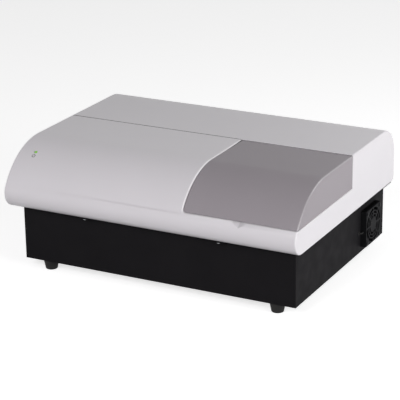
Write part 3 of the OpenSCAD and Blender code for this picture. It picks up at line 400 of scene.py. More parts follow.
class Canvas:
    """The node tree of a material or of the world, and the nodes that the finishes share."""

    def __init__(self, owner: Material | World) -> None:
        """Clears the owner's tree.

        Args:
            owner: The material or world.
        """
        owner.use_nodes = True
        self.tree = owner.node_tree
        self.tree.nodes.clear()

    def add(self, kind: str, inputs: dict | None = None, links: dict | None = None,
            **settings: object) -> Node:
        """Adds a node with its settings, values and links.

        Args:
            kind: Type of the node.
            inputs: Values by input name or number.
            links: Output sockets by input name or number.
            settings: The node's properties.

        Returns:
            The node.
        """
        node = self.tree.nodes.new(kind)
        for name, value in settings.items():
            setattr(node, name, value)
        for name, value in (inputs or {}).items():
            node.inputs[name].default_value = value
        for name, socket in (links or {}).items():
            self.tree.links.new(socket, node.inputs[name])
        return node

    @cached_property
    def place(self) -> NodeSocket:
        """The object coordinates."""
        return self.add("ShaderNodeTexCoord").outputs["Object"]

    def noise(self, size: float, detail: float = 3,
              stretch: Triple = (1, 1, 1)) -> NodeSocket:
        """Adds a noise pattern of a real size.

        Args:
            size: Size of one blotch in millimetres.
            detail: Finer octaves.
            stretch: How much longer the blotches are along each axis.

        Returns:
            The noise value, around one half.
        """
        scale = self.add("ShaderNodeMapping", {"Scale": [1 / s for s in stretch]},
                         {"Vector": self.place})
        return self.add("ShaderNodeTexNoise", {"Scale": 1 / (size * MM), "Detail": detail},
                        {"Vector": scale.outputs[0]}).outputs["Fac"]

    def between(self, value: NodeSocket, low: float, high: float,
                start: float = 0.35, end: float = 0.65) -> NodeSocket:
        """Maps a pattern to a range.

        Args:
            value: The pattern.
            low: Result where the pattern is at start or under it.
            high: Result where the pattern is at end or over it.
            start: Low end of the pattern.
            end: High end of the pattern.

        Returns:
            The mapped value.
        """
        return self.add("ShaderNodeMapRange", {"From Min": start, "From Max": end, "To Min": low,
                                               "To Max": high}, {"Value": value}).outputs["Result"]

    def blend(self, share: NodeSocket, first: tuple, second: tuple) -> NodeSocket:
        """Mixes two colours by a pattern and gives the mixed colour."""
        mix = self.add("ShaderNodeMix", {6: first, 7: second}, {0: share}, data_type="RGBA")
        return mix.outputs[2]

    def seen_by(self, *kinds: str) -> NodeSocket:
        """Gives one for some kinds of ray, and zero for the others.

        Args:
            kinds: Outputs of the light path node.

        Returns:
            One or zero.
        """
        path = self.add("ShaderNodeLightPath")
        share = path.outputs[kinds[0]]
        for kind in kinds[1:]:
            share = self.add("ShaderNodeMath", links={0: share, 1: path.outputs[kind]},
                             operation="MAXIMUM").outputs[0]
        return share

    def surface(self, colour: NodeSocket, rough: NodeSocket,
                height: NodeSocket | None = None, relief: float = 0, **inputs: object) -> None:
        """Adds the shader and the output of a material.

        Args:
            colour: The base colour.
            rough: The roughness.
            height: Pattern of the relief, where there is one.
            relief: Height of the relief in millimetres.
            inputs: Other values of the shader, with underscores for the spaces in their names.
        """
        links = {"Base Color": colour, "Roughness": rough}
        if height is not None:
            bump = self.add("ShaderNodeBump", {"Strength": 1, "Distance": relief * MM},
                            {"Height": height})
            links["Normal"] = bump.outputs[0]
        values = {name.replace("_", " "): value for name, value in inputs.items()}
        shader = self.add("ShaderNodeBsdfPrincipled", values, links)
        self.add("ShaderNodeOutputMaterial", links={"Surface": shader.outputs[0]})


@dataclass(frozen=True)
class Coat:
    """What every finish has.

    Attributes:
        name: Name of the material.
        colour: Main colour as hex digits.
    """

    name: str
    colour: str

    def material(self) -> Material:
        """Builds the material."""
        material = bpy.data.materials.new(self.name)
        self.paint(Canvas(material))
        return material

    def paint(self, canvas: Canvas) -> None:
        """Adds the nodes of the material, which differ from finish to finish."""
        raise NotImplementedError


@dataclass(frozen=True)
class Moulding(Coat):
    """Moulded plastic, rubber or sprayed coat: a fine texture from the mould or the spray.

    Attributes:
        shade: Colour of the faint darker blotches.
        roughness: Roughness of the surface.
        grain: Size of the texture in millimetres.
        relief: Height of the texture in millimetres.
        gloss: Specular level; one half is that of the index of refraction.
        index: Index of refraction.
        wear: How much the roughness varies either way.
    """

    shade: str
    roughness: float
    grain: float = 0.8
    relief: float = 0.02
    gloss: float = 0.5
    index: float = 1.5
    wear: float = 0.05

    def paint(self, canvas: Canvas) -> None:
        """Adds blotches 60 mm wide, gloss that changes over 22 mm, and the texture."""
        cloud = canvas.between(canvas.noise(60, 4), 0, 1)
        colour = canvas.blend(cloud, srgb(self.colour), srgb(self.shade))
        rough = canvas.between(canvas.noise(22, 5), self.roughness - self.wear,
                               self.roughness + self.wear)
        canvas.surface(colour, rough, canvas.noise(self.grain, 2), self.relief,
                       IOR=self.index, Specular_IOR_Level=self.gloss)


@dataclass(frozen=True)
class Metal(Coat):
    """Machined, plated or anodised metal with the fine lines that its making leaves.

    Attributes:
        roughness: Roughness of the surface.
        lines: How much longer than wide the lines are along each axis.
        pitch: Width of a line in millimetres.
        relief: Depth of a line in millimetres.
    """

    roughness: float
    lines: Triple = (1, 1, 1)
    pitch: float = 0.6
    relief: float = 0.006

    def paint(self, canvas: Canvas) -> None:
        """Adds the lines, and gloss that changes over 14 mm."""
        line = canvas.noise(self.pitch, 3, self.lines)
        colour = canvas.blend(canvas.between(line, 0, 1), srgb(self.colour),
                              darker(self.colour, 0.86))
        rough = canvas.between(canvas.noise(14, 4), self.roughness - 0.06, self.roughness + 0.08)
        canvas.surface(colour, rough, line, self.relief, Metallic=1.0)


@dataclass(frozen=True)
class Glass(Coat):
    """Clear or tinted glass, or a clear moulded lens.

    Attributes:
        index: Index of refraction.
        glow: Strength of its own light.
    """

    index: float = 1.5
    glow: float = 0.0

    def paint(self, canvas: Canvas) -> None:
        """Adds the faint streaks of the tint, 5 mm wide, and of the polish, 3 mm wide."""
        streaks = canvas.between(canvas.noise(5), 0, 1)
        canvas.surface(canvas.blend(streaks, srgb(self.colour), darker(self.colour, 0.93)),
                       canvas.between(canvas.noise(3), 0.02, 0.1), IOR=self.index,
                       Transmission_Weight=1.0 if self.glow == 0 else 0.4,
                       Emission_Color=srgb(self.colour), Emission_Strength=self.glow)


@dataclass(frozen=True)
class Striped(Coat):
    """A surface with even stripes: a ribbon cable's wires or a belt's teeth.

    Attributes:
        valley_shade: Darker colour between the ridges: painted shade in the valleys.
        pitch: Pitch of the stripes in millimetres.
        relief: Height of the ridges in millimetres.
        roughness: Roughness of the surface.
    """

    valley_shade: str
    pitch: float
    relief: float
    roughness: float

    def paint(self, canvas: Canvas) -> None:
        """Adds the stripes, which follow each other along X, with painted shade between the ridges.
        """
        # The wave texture's own scale of 1 repeats every 2 pi / 20 of a metre
        scale = pi / 10 / (self.pitch * MM)
        wave = canvas.add("ShaderNodeTexWave", {"Scale": scale, "Distortion": 0},
                          {"Vector": canvas.place}, wave_type="BANDS", bands_direction="X",
                          wave_profile="SIN").outputs["Fac"]
        # Painted shade: the colour darkens in the valleys between the ridges
        colour = canvas.blend(wave, srgb(self.valley_shade), srgb(self.colour))
        rough = canvas.between(canvas.noise(6), self.roughness - 0.06, self.roughness + 0.06)
        canvas.surface(colour, rough, wave, self.relief)


@dataclass(frozen=True)
class Laminate(Coat):
    """Glass fibre board under green solder mask, with copper tracks that show as lighter lines.

    Attributes:
        track: Colour over the copper.
        pitch: Spacing of the tracks in millimetres.
        relief: Height of the tracks in millimetres.
    """

    track: str
    pitch: float = 4.0
    relief: float = 0.03

    def paint(self, canvas: Canvas) -> None:
        """Adds the tracks, and gloss that changes over 9 mm."""
        tracks = canvas.add("ShaderNodeTexVoronoi",
                            {"Scale": 1 / (self.pitch * MM), "Randomness": 0.55},
                            {"Vector": canvas.place}, feature="DISTANCE_TO_EDGE",
                            voronoi_dimensions="3D")
        line = canvas.between(tracks.outputs["Distance"], 1, 0, 0.06, 0.09)
        colour = canvas.blend(line, srgb(self.colour), srgb(self.track))
        rough = canvas.between(canvas.noise(9), 0.25, 0.4)
        canvas.surface(colour, rough, line, self.relief, IOR=1.5)


class Finish(Enum):
    """The object's finishes, each one named for what the real material is, but for the painted shade
    and painted highlights that some faces take.
    """

    # Structural foam moulding in light grey satin paint: broad soft highlights, no sparkle
    COVER = Moulding("painted_cover", "e7e4e8", "e6e3e7", 0.26, 1.1, 0.006, 0.14, 1.5, 0.004)
    # Painted shade in the seam: a dark grey on its walls and floor, so that the narrow cut reads as a
    # dark line
    GROOVE = Moulding("seam_painted_shade", "757376", "6f6d70", 0.6, 0.8, 0.01, 0.2, 1.5)
    # Painted highlight on the opening's rounded rim: the cover's paint made lighter and glossier
    # there
    COVER_EDGE = Moulding("cover_rim_painted_highlight", "eeebee", "edeaed", 0.22, 1.1, 0.0, 0.5, 1.5)
    # Smoke grey ABS from a finely etched mould: a little smoother than the paint
    LID = Moulding("smoke_abs", "a39da2", "a29ca1", 0.26, 0.9, 0.006, 0.04, 1.54, 0.004)
    # Painted highlight on the rounding between the lid's face and its side: the smoke grey made
    # lighter and glossier there
    LID_EDGE = Moulding("smoke_abs_painted_highlight", "a6a1a5", "a5a0a4", 0.24, 0.9, 0.0, 0.5, 1.54, 0.0)
    # Black powder coat on steel sheet: orange peel, about a millimetre from hump to hump
    POWDER = Moulding("black_powder_coat", "1b1a1c", "1d1c1e", 0.6, 1.3, 0.05, 0.03, 1.5)
    # Matte black vacuum formed ABS round the plate compartment
    LINER = Moulding("matte_black_abs", "161618", "1a1a1c", 0.62, 1.0, 0.03, 0.35, 1.53)
    # Nitrile rubber feet, dull and slightly dusty
    RUBBER = Moulding("nitrile_rubber", "131313", "1b1a19", 0.78, 1.5, 0.04, 0.3, 1.52)
    # Glass filled black polyester of the fan: greyish where the glass comes to the surface
    FAN = Moulding("glass_filled_polyester", "161618", "1b1b1d", 0.65, 0.7, 0.03, 0.06, 1.57)
    # Black nylon of inlet, switch and connectors
    NYLON = Moulding("black_nylon", "121213", "18181a", 0.4, 0.8, 0.02, 0.5, 1.53)
    # PVC wire jackets
    JACKET = Moulding("pvc_jacket", "3b3d40", "313336", 0.45, 1.0, 0.01, 0.5, 1.54)
    # Pad printed grey ink
    INK = Moulding("pad_print_ink", "343235", "3b393c", 0.6, 0.5, 0.005, 0.4, 1.5)
    # Orange acetal of the plate lever
    ACETAL = Moulding("orange_acetal", "c8501e", "bc4818", 0.35, 0.8, 0.01, 0.5, 1.48)
    # Epoxy packages and moulded headers on the boards
    EPOXY = Moulding("epoxy_package", "232325", "2a2a2c", 0.5, 0.5, 0.02, 0.45, 1.55)
    # Black enamel on the motors' steel cases
    ENAMEL = Moulding("motor_enamel", "2b2b2e", "333336", 0.38, 1.0, 0.02, 0.5, 1.5)
    # Zinc plated steel screws and leaves
    ZINC = Metal("zinc_plated_steel", "c4c6ca", 0.36)
    # Blackened steel screws of the fan
    BLACKENED = Metal("blackened_steel", "2a2a2c", 0.45)
    # Nickel plated magnet
    NICKEL = Metal("nickel_plate", "d2d0cc", 0.16)
    # Hardened ground steel rods: fine lines round the rod
    GROUND = Metal("ground_steel", "c8cacd", 0.2, (0.4, 12, 12), 0.4, 0.003)
    # Milled aluminium with fine tool lines along X
    MILLED = Metal("milled_aluminium", "c6c8cb", 0.34, (18, 1, 1), 0.5, 0.006)
    # Black anodised aluminium of the carriage and the filter wheel
    ANODISED = Metal("black_anodised_aluminium", "37383b", 0.4, (14, 1, 1), 0.5, 0.006)
    # Galvanised sheet with a faint spangle
    GALVANISED = Metal("galvanised_sheet", "b9bcbf", 0.38, (1, 1, 1), 9.0, 0.004)
    # Sintered bronze bushes, oily and finely porous
    BRONZE = Metal("sintered_bronze", "a8794a", 0.45, (1, 1, 1), 0.4, 0.02)
    # Turned brass spacers
    BRASS = Metal("turned_brass", "d9b568", 0.25, (10, 10, 1), 0.3, 0.004)
    # Grey ribbon cable with a wire every 1.27 mm, and painted shade between the wires
    RIBBON = Striped("ribbon_cable", "b4b5b9", "8d8e92", 1.27, 0.25, 0.5)
    # Neoprene belt with 2 mm teeth, and painted shade between the teeth
    BELT = Striped("neoprene_belt", "1d1d1e", "0f0f10", 2.0, 0.3, 0.6)
    # Circuit boards
    BOARD = Laminate("solder_mask", "0d5a2c", "1c7a42")
    # Green status light: a clear green lens that glows a little
    LIGHT = Glass("green_lens", "7cc41a", 1.49, 0.15)
    # Optical glass
    LENS = Glass("optical_glass", "eef4f8", 1.52)
    # Coated filter glass, violet in reflection
    FILTER = Glass("coated_filter", "9d8fd0", 1.52)
    # Glass tubes of the fuses
    TUBE = Glass("fuse_glass", "e8ecee", 1.5)
    # Quartz lamp
    QUARTZ = Glass("quartz", "f3f3ee", 1.46)


@dataclass
class Reader:
    """What all sub-assemblies need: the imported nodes, their bodies and slots, and the materials."""

    nodes: dict[str, Object]
    bodies: dict[str, list[str]]
    slots: dict[str, str]
    made: dict[Finish, Material] = field(default_factory=dict)

    def body_of(self, node: str) -> str:
        """Names the body that a node belongs to."""
        return next(body for body, members in self.bodies.items() if node in members)

    def material(self, finish: Finish) -> Material:
        """Gives the material of a finish, and makes it the first time."""
        if finish not in self.made:
            self.made[finish] = finish.value.material()
        return self.made[finish]

    def dress(self, piece: Object, finish: Finish) -> None:
        """Gives a piece its finish.

        Args:
            piece: The object.
            finish: Its finish.
        """
        piece.data.materials.clear()
        piece.data.materials.append(self.material(finish))

    def recoat(self, piece: Object, finish: Finish, wanted: FaceTest) -> None:
        """Gives some faces of a dressed piece another finish.

        Args:
            piece: The object.
            finish: Finish of those faces.
            wanted: Test of a face's middle, in millimetres, and of its normal.
        """
        piece.data.materials.append(self.material(finish))
        for face in piece.data.polygons:
            if wanted(face.center / MM, face.normal):
                face.material_index = len(piece.data.materials) - 1

    def dress_nodes(self, table: dict[Finish, str]) -> None:
        """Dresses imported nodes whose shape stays.

        Args:
            table: Node names, with spaces between them, by finish.
        """
        for finish, names in table.items():
            for name in names.split():
                self.dress(self.nodes[name], finish)
                LOG.info("node %s: %s", name, finish.value.name)

    def attach(self, piece: Object, body: str, finish: Finish) -> None:
        """Dresses a finished piece and fixes it to a body.

        Args:
            piece: The new piece.
            body: The body that it rides on.
            finish: Its finish.
        """
        self.dress(piece, finish)
        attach(piece, body)
        LOG.info("piece %s on %s, %d faces", piece.name, body, len(piece.data.polygons))

    def stand_in(self, piece: Object, node: str, finish: Finish) -> None:
        """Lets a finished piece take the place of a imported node.

        Args:
            piece: The new piece.
            node: The node that it stands for.
            finish: Its finish.
        """
        self.attach(piece, self.body_of(node), finish)
        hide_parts(node)

    def soften(self, node: str, width: float, finish: Finish, angle: float = 40) -> None:
        """Replaces a node by a copy whose sharp edges are slightly rounded.

        Args:
            node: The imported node.
            width: Width of the rounding.
            finish: The finish.
            angle: Edges sharper than this, in degrees, are rounded.
        """
        piece = self.nodes[node].copy()
        piece.data = piece.data.copy()
        for key in list(piece.keys()):
            del piece[key]
        piece.parent = None
        bpy.context.scene.collection.objects.link(piece)
        piece.name = node + "_rounded"
        select(piece, Pick.POINTS)
        bpy.ops.mesh.remove_doubles(threshold=WELD * MM)
        bpy.ops.mesh.dissolve_limited(angle_limit=radians(FLAT), use_dissolve_boundaries=False)
        done()
        modify(piece, "BEVEL", width=width * MM, segments=2, limit_method="ANGLE",
               angle_limit=radians(angle), use_clamp_overlap=True)
        smooth(piece)
        self.stand_in(piece, node, finish)


@dataclass
class Cover:
    """The moulded cover: an outline of arcs that is swept from side to side, then cut."""

    left: float = -252.5
    right: float = 252.5
    front: float = -195.5
    back: float = 195.5
    rim: float = 106.5
    top: float = 203.0
    wall: float = 3.0
    curve: Pair = (-88.5, 83.0)
    curve_r: float = 120.0
    rear_r: float = 47.0
    rear_low_r: float = 8.0
    edge_r: float = 2.4
    rim_w: float = 14.0
    seam_y: float = 16.1
    seam_w: float = 2.0
    lid_x: float = 63.5
    lid_mid: float = 158.0
    lid_z: float = 148.5
    lid_corner: float = 4.5
    lid_gap: float = 0.7
    hinge: Pair = (11.3028, 198.7)
    hinge_xs: Pair = (99.5, 216.5)
    opening_r: float = 6.8
    notch_w: float = 36.0
    notch_h: float = 8.5
    opening_round: float = 2.2
    light_x: float = -222.7
    light_tilt: float = 27.3
    light_r: float = 2.7
    pad_w: float = 20.0
    pad_ys: Pair = (12.0, 34.0)
    pad_low: float = 7.5
    nose_wall: float = 6.0
    # Solid block behind the notch: how far it reaches to either side, back and down
    notch_pad: Triple = (3.0, 18.0, 4.0)
    notch_tilt: float = 30.0

    @property
    def nose_r(self) -> float:
        """Radius of the nose that touches the curve, the front plane and the rim plane."""
        run, rise = self.curve[0] - self.front, self.rim - self.curve[1]
        half = self.curve_r + rise - run
        return sqrt(half ** 2 - run ** 2 - rise ** 2 + self.curve_r ** 2) - half

    @property
    def nose(self) -> Pair:
        """Centre of the nose."""
        return self.front + self.nose_r, self.rim + self.nose_r

    def outline(self, name: str, inset: float, start: float, end: float) -> Object:
        """Sweeps the cover's side view between two places.

        Args:
            name: Name of the object.
            inset: Distance inside the outer surface.
            start: Left end.
            end: Right end.

        Returns:
            The closed solid.
        """
        y, z = self.curve
        nose_y, nose_z = self.nose
        lean = degrees(atan2(nose_z - z, nose_y - y))
        low_r = max(self.rear_low_r - inset, 0.5)
        low = (self.back - inset - low_r, self.rim + inset + low_r)
        high = (self.back - self.rear_r, self.top - self.rear_r)
        pen = Pen(name, Plane.SIDE, start, (y, self.top - inset))
        pen.arc(self.curve, lean - 90, 64).arc((nose_y, nose_z), 270 - lean, 40)
        pen.line((low[0], self.rim + inset)).arc(low, 90, 8)
        pen.line((self.back - inset, high[1])).arc(high, 90, 24)
        pen.line((y, self.top - inset))
        return pen.sweep(end - start)

    def skin(self, name: str, start: float, end: float, rounded: Iterable[float]) -> Object:
        """Sweeps the outer surface and rounds the edges of its ends.

        Args:
            name: Name of the object.
            start: Left end.
            end: Right end.
            rounded: The ends that are rounded.

        Returns:
            The closed solid.
        """
        piece = self.outline(name, 0, start, end)
        for x in rounded:
            round_edges(piece, self.edge_r, 4, lambda point: abs(point.x - x) < NEAR)
        return piece

    def opening(self, grow: float, edge_r: float) -> Object:
        """Builds the solid that the lid fills.

        Args:
            grow: How much larger than the lid it is, to the left and below.
            edge_r: Radius round the hinge line at the rear.

        Returns:
            The closed solid.
        """
        x, z, r = self.lid_x - grow, self.lid_z - grow, self.lid_corner + grow
        # The solid reaches past the cover to the right, to the top and to the front
        far, high, near = self.right + 20, self.top + 10, self.front - 10
        face = Pen("lid_front", Plane.FRONT, near, (x, high))
        face.line((x, z + r)).arc((x + r, z + r), 90, 12).line((far, z), (far, high), (x, high))
        solid = face.sweep(self.hinge[0] + 20 - near)
        y, axis_z = self.hinge
        low = self.rim - 5
        side = Pen("lid_side", Plane.SIDE, self.lid_x - 10, (near - 5, low))
        side.line((y + edge_r, low), (y + edge_r, axis_z)).arc(self.hinge, 90, 16)
        side.line((y, high + 5), (near - 5, high + 5), (near - 5, low))
        return combine(solid, side.sweep(far + 20 - self.lid_x), Join.KEEP)

    def on_curve(self, x: float, tilt: float, out: float) -> Vector:
        """Gives a point at an angle down the front curve.

        Args:
            x: Place from side to side.
            tilt: Angle in degrees from the top.
            out: Distance from the curve's axis.

        Returns:
            The point.
        """
        lean = radians(tilt)
        return Vector((x, self.curve[0] - out * sin(lean), self.curve[1] + out * cos(lean)))

    def is_outer(self, point: Vector) -> bool:
        """Says whether a point lies on the cover's outer surface, its sides included."""
        if min(abs(point.x - self.left), abs(point.x - self.right)) < NEAR:
            return True
        nose_y, nose_z = self.nose
        curve = hypot(point.y - self.curve[0], point.z - self.curve[1])
        nose = hypot(point.y - nose_y, point.z - nose_z)
        return (abs(point.z - self.top) < NEAR or abs(curve - self.curve_r) < ROUND_NEAR
                or (point.y < nose_y and abs(nose - self.nose_r) < ROUND_NEAR))

    def build(self, reader: Reader) -> None:
        """Builds the cover.

        Args:
            reader: The whole reader.
        """
        piece = self.skin("cover_moulding", self.left, self.right, (self.left, self.right))
        room = self.outline("room", self.wall, self.left + self.wall, self.right - self.wall)
        combine(piece, room, Join.CUT)
        front = self.nose[0] + self.nose_wall
        under = block("floor", (self.left + self.rim_w, front, self.rim - 1),
                      (self.right - self.rim_w, self.back - self.rim_w, self.rim + self.wall + 1))
        combine(piece, under, Join.CUT)
        y, z = self.hinge
        ceiling = self.top - self.wall
        for x in self.hinge_xs:
            pad = block("pad", (x - self.pad_w / 2, y + self.pad_ys[0], z - self.pad_low),
                        (x + self.pad_w / 2, y + self.pad_ys[1], ceiling + 0.5))
            combine(piece, pad, Join.ADD)
        side, deep, low = self.notch_pad
        half = self.notch_w / 2 + side
        pad = self.outline("pad", 1, self.lid_mid - half, self.lid_mid + half)
        combine(pad, block("pad_limit", (self.lid_x, self.front, self.lid_z - self.notch_h - low),
                           (self.right, self.front + deep, self.lid_z - self.lid_gap)), Join.KEEP)
        combine(piece, pad, Join.ADD)
        combine(piece, self.opening(self.lid_gap, self.opening_r), Join.CUT)
        combine(piece, self.finger_notch(), Join.CUT)
        round_edges(piece, self.opening_round, 4,
                    lambda point: self.on_rim(point, self.lid_gap, self.opening_r))
        seam = block("seam", (self.left - 1, self.seam_y - self.seam_w / 2, self.top - self.seam_w),
                     (self.lid_x - 1.5, self.seam_y + self.seam_w / 2, self.top + 1))
        combine(piece, seam, Join.CUT)
        ends = (self.on_curve(self.light_x, self.light_tilt, self.curve_r + out) for out in (-9, 4))
        combine(piece, rod("light_hole", *ends, self.light_r), Join.CUT)
        smooth(piece)
        reader.stand_in(piece, "cover_shell", Finish.COVER)
        # Painted shade: the seam's walls and floor take the dark grey finish
        reader.recoat(piece, Finish.GROOVE, lambda middle, normal: (
            abs(middle.y - self.seam_y) < self.seam_w / 2 + NEAR
            and ceiling + 0.5 < middle.z < self.top - NEAR))
        # Painted highlight: the right-facing faces of the opening's rounded rim take the lighter,
        # glossier finish
        rim = self.lid_x - self.lid_gap
        reader.recoat(piece, Finish.COVER_EDGE, faces_right(rim - self.opening_round, rim))

    def on_rim(self, point: Vector, grow: float, edge_r: float) -> bool:
        """Says whether a point lies both on the outer surface and on the outline of the opening.

        Args:
            point: The point.
            grow: How much larger than the lid the outline is.
            edge_r: Radius round the hinge line at the rear.

        Returns:
            Whether it does.
        """
        r = self.lid_corner + grow
        across, up = point.x - self.lid_x + grow, point.z - self.lid_z + grow
        behind = point.y - self.hinge[0]
        hinge = hypot(behind, point.z - self.hinge[1])
        corner = hypot(across - r, up - r)
        on_cut = (min(abs(across), abs(up), abs(behind - edge_r)) < NEAR
                  or abs(hinge - edge_r) < ROUND_NEAR
                  or (max(across, up) < r + NEAR and abs(corner - r) < ROUND_NEAR))
        return on_cut and min(across, up) > -NEAR and self.is_outer(point)

    def finger_notch(self) -> Object:
        """Builds the three-sided cutter of the finger notch, as wide as the lip needs."""
        tip_z = self.lid_z - self.lid_gap - self.notch_h
        tip_y = self.curve[0] - sqrt(self.curve_r ** 2 - (tip_z - self.curve[1]) ** 2)
        wide, high = self.notch_w, self.notch_h * 1.5
        pen = Pen("notch", Plane.FRONT, -30, (0, 0)).line((wide, high), (-wide, high), (0, 0))
        cutter = pen.sweep(60)
        cutter.matrix_world = (Matrix.Translation(Vector((self.lid_mid, tip_y, tip_z)) * MM)
                               @ Matrix.Rotation(radians(self.notch_tilt), 4, "X"))
        return settle(cutter)


@dataclass
class Lid:
    """The smoke grey lid over the plate compartment."""

    cover: Cover
    wall: float = 3.0
    edge_r: float = 6.1
    pin_r: float = 1.25
    leaf_w: float = 10.0
    knuckle_w: float = 8.0
    knuckle_r: float = 3.8
    rib_x: float = 74.5
    rib_t: float = 2.0
    rib_deep: float = 14.0
    rib_end: float = 10.0
    rim_round: float = 0.8
    pocket_r: float = 3.15
    bore_play: float = 0.01
    recess: float = 1.0

    @property
    def shell(self) -> Cover:
        """The cover's form a little smaller, so that the opening's rim stands proud of the lid."""
        top, curve_r = (size - self.recess for size in (self.cover.top, self.cover.curve_r))
        return replace(self.cover, top=top, curve_r=curve_r)

    def build(self, reader: Reader) -> None:
        """Builds the lid.

        Args:
            reader: The whole reader.
        """
        cover, shell = self.cover, self.shell
        y, z = cover.hinge
        piece = shell.skin("lid_moulding", cover.lid_x - 5, cover.right, (cover.right,))
        room = cover.outline("room", self.wall, cover.lid_x - 6, cover.right - self.wall)
        combine(piece, room, Join.CUT)
        combine(piece, cover.opening(0, self.edge_r), Join.KEEP)
        round_edges(piece, self.rim_round, 3, lambda point: shell.on_rim(point, 0, self.edge_r))
        rib = cover.outline("rib", self.wall - 0.05, self.rib_x, self.rib_x + self.rib_t)
        combine(rib, cover.outline("rib_room", self.wall + self.rib_deep, self.rib_x - 1,
                                   self.rib_x + self.rib_t + 1), Join.CUT)
        combine(rib, block("rib_limit", (self.rib_x - 2, cover.front, cover.lid_z + self.rib_end),
                           (self.rib_x + 5, y - self.rib_end, cover.top)), Join.KEEP)
        combine(piece, rib, Join.ADD)
        near = self.leaf_w / 2 + 0.5
        far = near + self.knuckle_w
        for x in cover.hinge_xs:
            for low, high, radius, join in (
                    (-far, -near, self.knuckle_r, Join.ADD), (near, far, self.knuckle_r, Join.ADD),
                    (-near, near, self.pocket_r, Join.CUT),
                    (-far - 1.5, far + 1.5, self.pin_r + self.bore_play, Join.CUT)):
                combine(piece, rod("knuckle", (x + low, y, z), (x + high, y, z), radius), join)
        smooth(piece)
        reader.stand_in(piece, "lid_shell", Finish.LID)
        # Painted highlight: the right-facing faces of the rounding at the lid's right end take the
        # lighter, glossier finish
        edge = faces_right(cover.right - cover.edge_r, cover.right - NEAR)
        reader.recoat(piece, Finish.LID_EDGE, edge)
        reader.dress_nodes({Finish.NICKEL: "lid_magnet", Finish.ZINC: "hinge_leaves hinge_pins",
                            Finish.NYLON: "lid_sensor"})
        reader.soften("compartment_liner", 0.5, Finish.LINER)


@dataclass
class StatusLight:
    """The green light and the power mark under it on the front curve."""

    cover: Cover
    mark_tilt: float = 31.2
    mark_r: float = 2.7
    stroke: float = 0.9
    raised: float = 0.12
    gap: float = 34.0

    def build(self, reader: Reader) -> None:
        """Builds the mark and dresses the light.

        Args:
            reader: The whole reader.
        """
        reader.dress_nodes({Finish.LIGHT: "power_led", Finish.BOARD: "led_board"})
        line_r = self.stroke / 2
        bpy.ops.mesh.primitive_torus_add(major_segments=64, minor_segments=12,
                                         major_radius=self.mark_r * MM, minor_radius=line_r * MM)
        ring = settle(bpy.context.object)
        select(ring, Pick.FACES, lambda point: abs(degrees(atan2(point.x, point.y))) < self.gap)
        bpy.ops.mesh.delete(type="FACE")
        bpy.ops.mesh.select_all(action="SELECT")
        bpy.ops.mesh.fill_holes(sides=16)
        done()
        bar = rod("bar", (0, self.mark_r * 0.25, 0), (0, self.mark_r * 1.25, 0), line_r, 12)
        mark = merge([ring, bar], "power_mark")
        cover = self.cover
        place = cover.on_curve(cover.light_x, self.mark_tilt, cover.curve_r + 0.02)
        mark.matrix_world = (Matrix.Translation(place * MM)
                             @ Matrix.Rotation(radians(self.mark_tilt), 4, "X")
                             @ Matrix.Diagonal((1, 1, self.raised / line_r, 1)))
        settle(mark)
        smooth(mark, 50)
        reader.attach(mark, "base", Finish.INK)


@dataclass
class Base:
    """The sheet metal base with its deck and feet."""

    foot_xs: Pair = (-196.5, 204.5)
    foot_ys: Pair = (-153.0, 166.0)
    foot_h: float = 16.5
    foot_low_r: float = 9.5
    foot_top_r: float = 12.75
    foot_round: float = 1.2
    recess_r: float = 4.4
    recess_top: float = 11.5
    recess_round: float = 0.5
    hole_r: float = 2.1

    def build(self, reader: Reader) -> None:
        """Builds the tray, the deck, the rear panel and the feet.

        Args:
            reader: The whole reader.
        """
        reader.soften("base_tray", 0.8, Finish.POWDER, 60)
        reader.soften("deck_plate", 0.4, Finish.POWDER, 60)
        reader.soften("rear_panel", 0.4, Finish.POWDER, 60)
        feet = [self.foot(x, y) for x in self.foot_xs for y in self.foot_ys]
        reader.stand_in(smooth(merge(feet, "rubber_feet")), "feet", Finish.RUBBER)

    def foot(self, x: float, y: float) -> Object:
        """Builds one tapered foot with its screw recess.

        Args:
            x: Place from side to side.
            y: Place from front to back.

        Returns:
            The foot.
        """
        piece = rod("foot", (x, y, 0), (x, y, self.foot_h), self.foot_low_r, 64, self.foot_top_r)
        round_edges(piece, self.foot_round, 4, lambda point: point.z < NEAR)
        combine(piece, rod("recess", (x, y, -1), (x, y, self.recess_top), self.recess_r), Join.CUT)
        combine(piece, rod("hole", (x, y, 1), (x, y, self.foot_h + 1), self.hole_r), Join.CUT)
        round_edges(piece, self.recess_round, 2, lambda point: (
            point.z < NEAR and hypot(point.x - x, point.y - y) < self.recess_r + 0.5))
        return piece


@dataclass(frozen=True)
class Row:
    """Screws of one kind: one at every meeting of the places along X, Y and Z.

    Attributes:
        xs: Places of the head's seat along X.
        ys: Places along Y.
        zs: Places along Z.
        out: Way from the shank to the head.
        shank: Length of the shank.
    """

    xs: tuple[float, ...]
    ys: tuple[float, ...]
    zs: tuple[float, ...]
    out: Triple
    shank: float


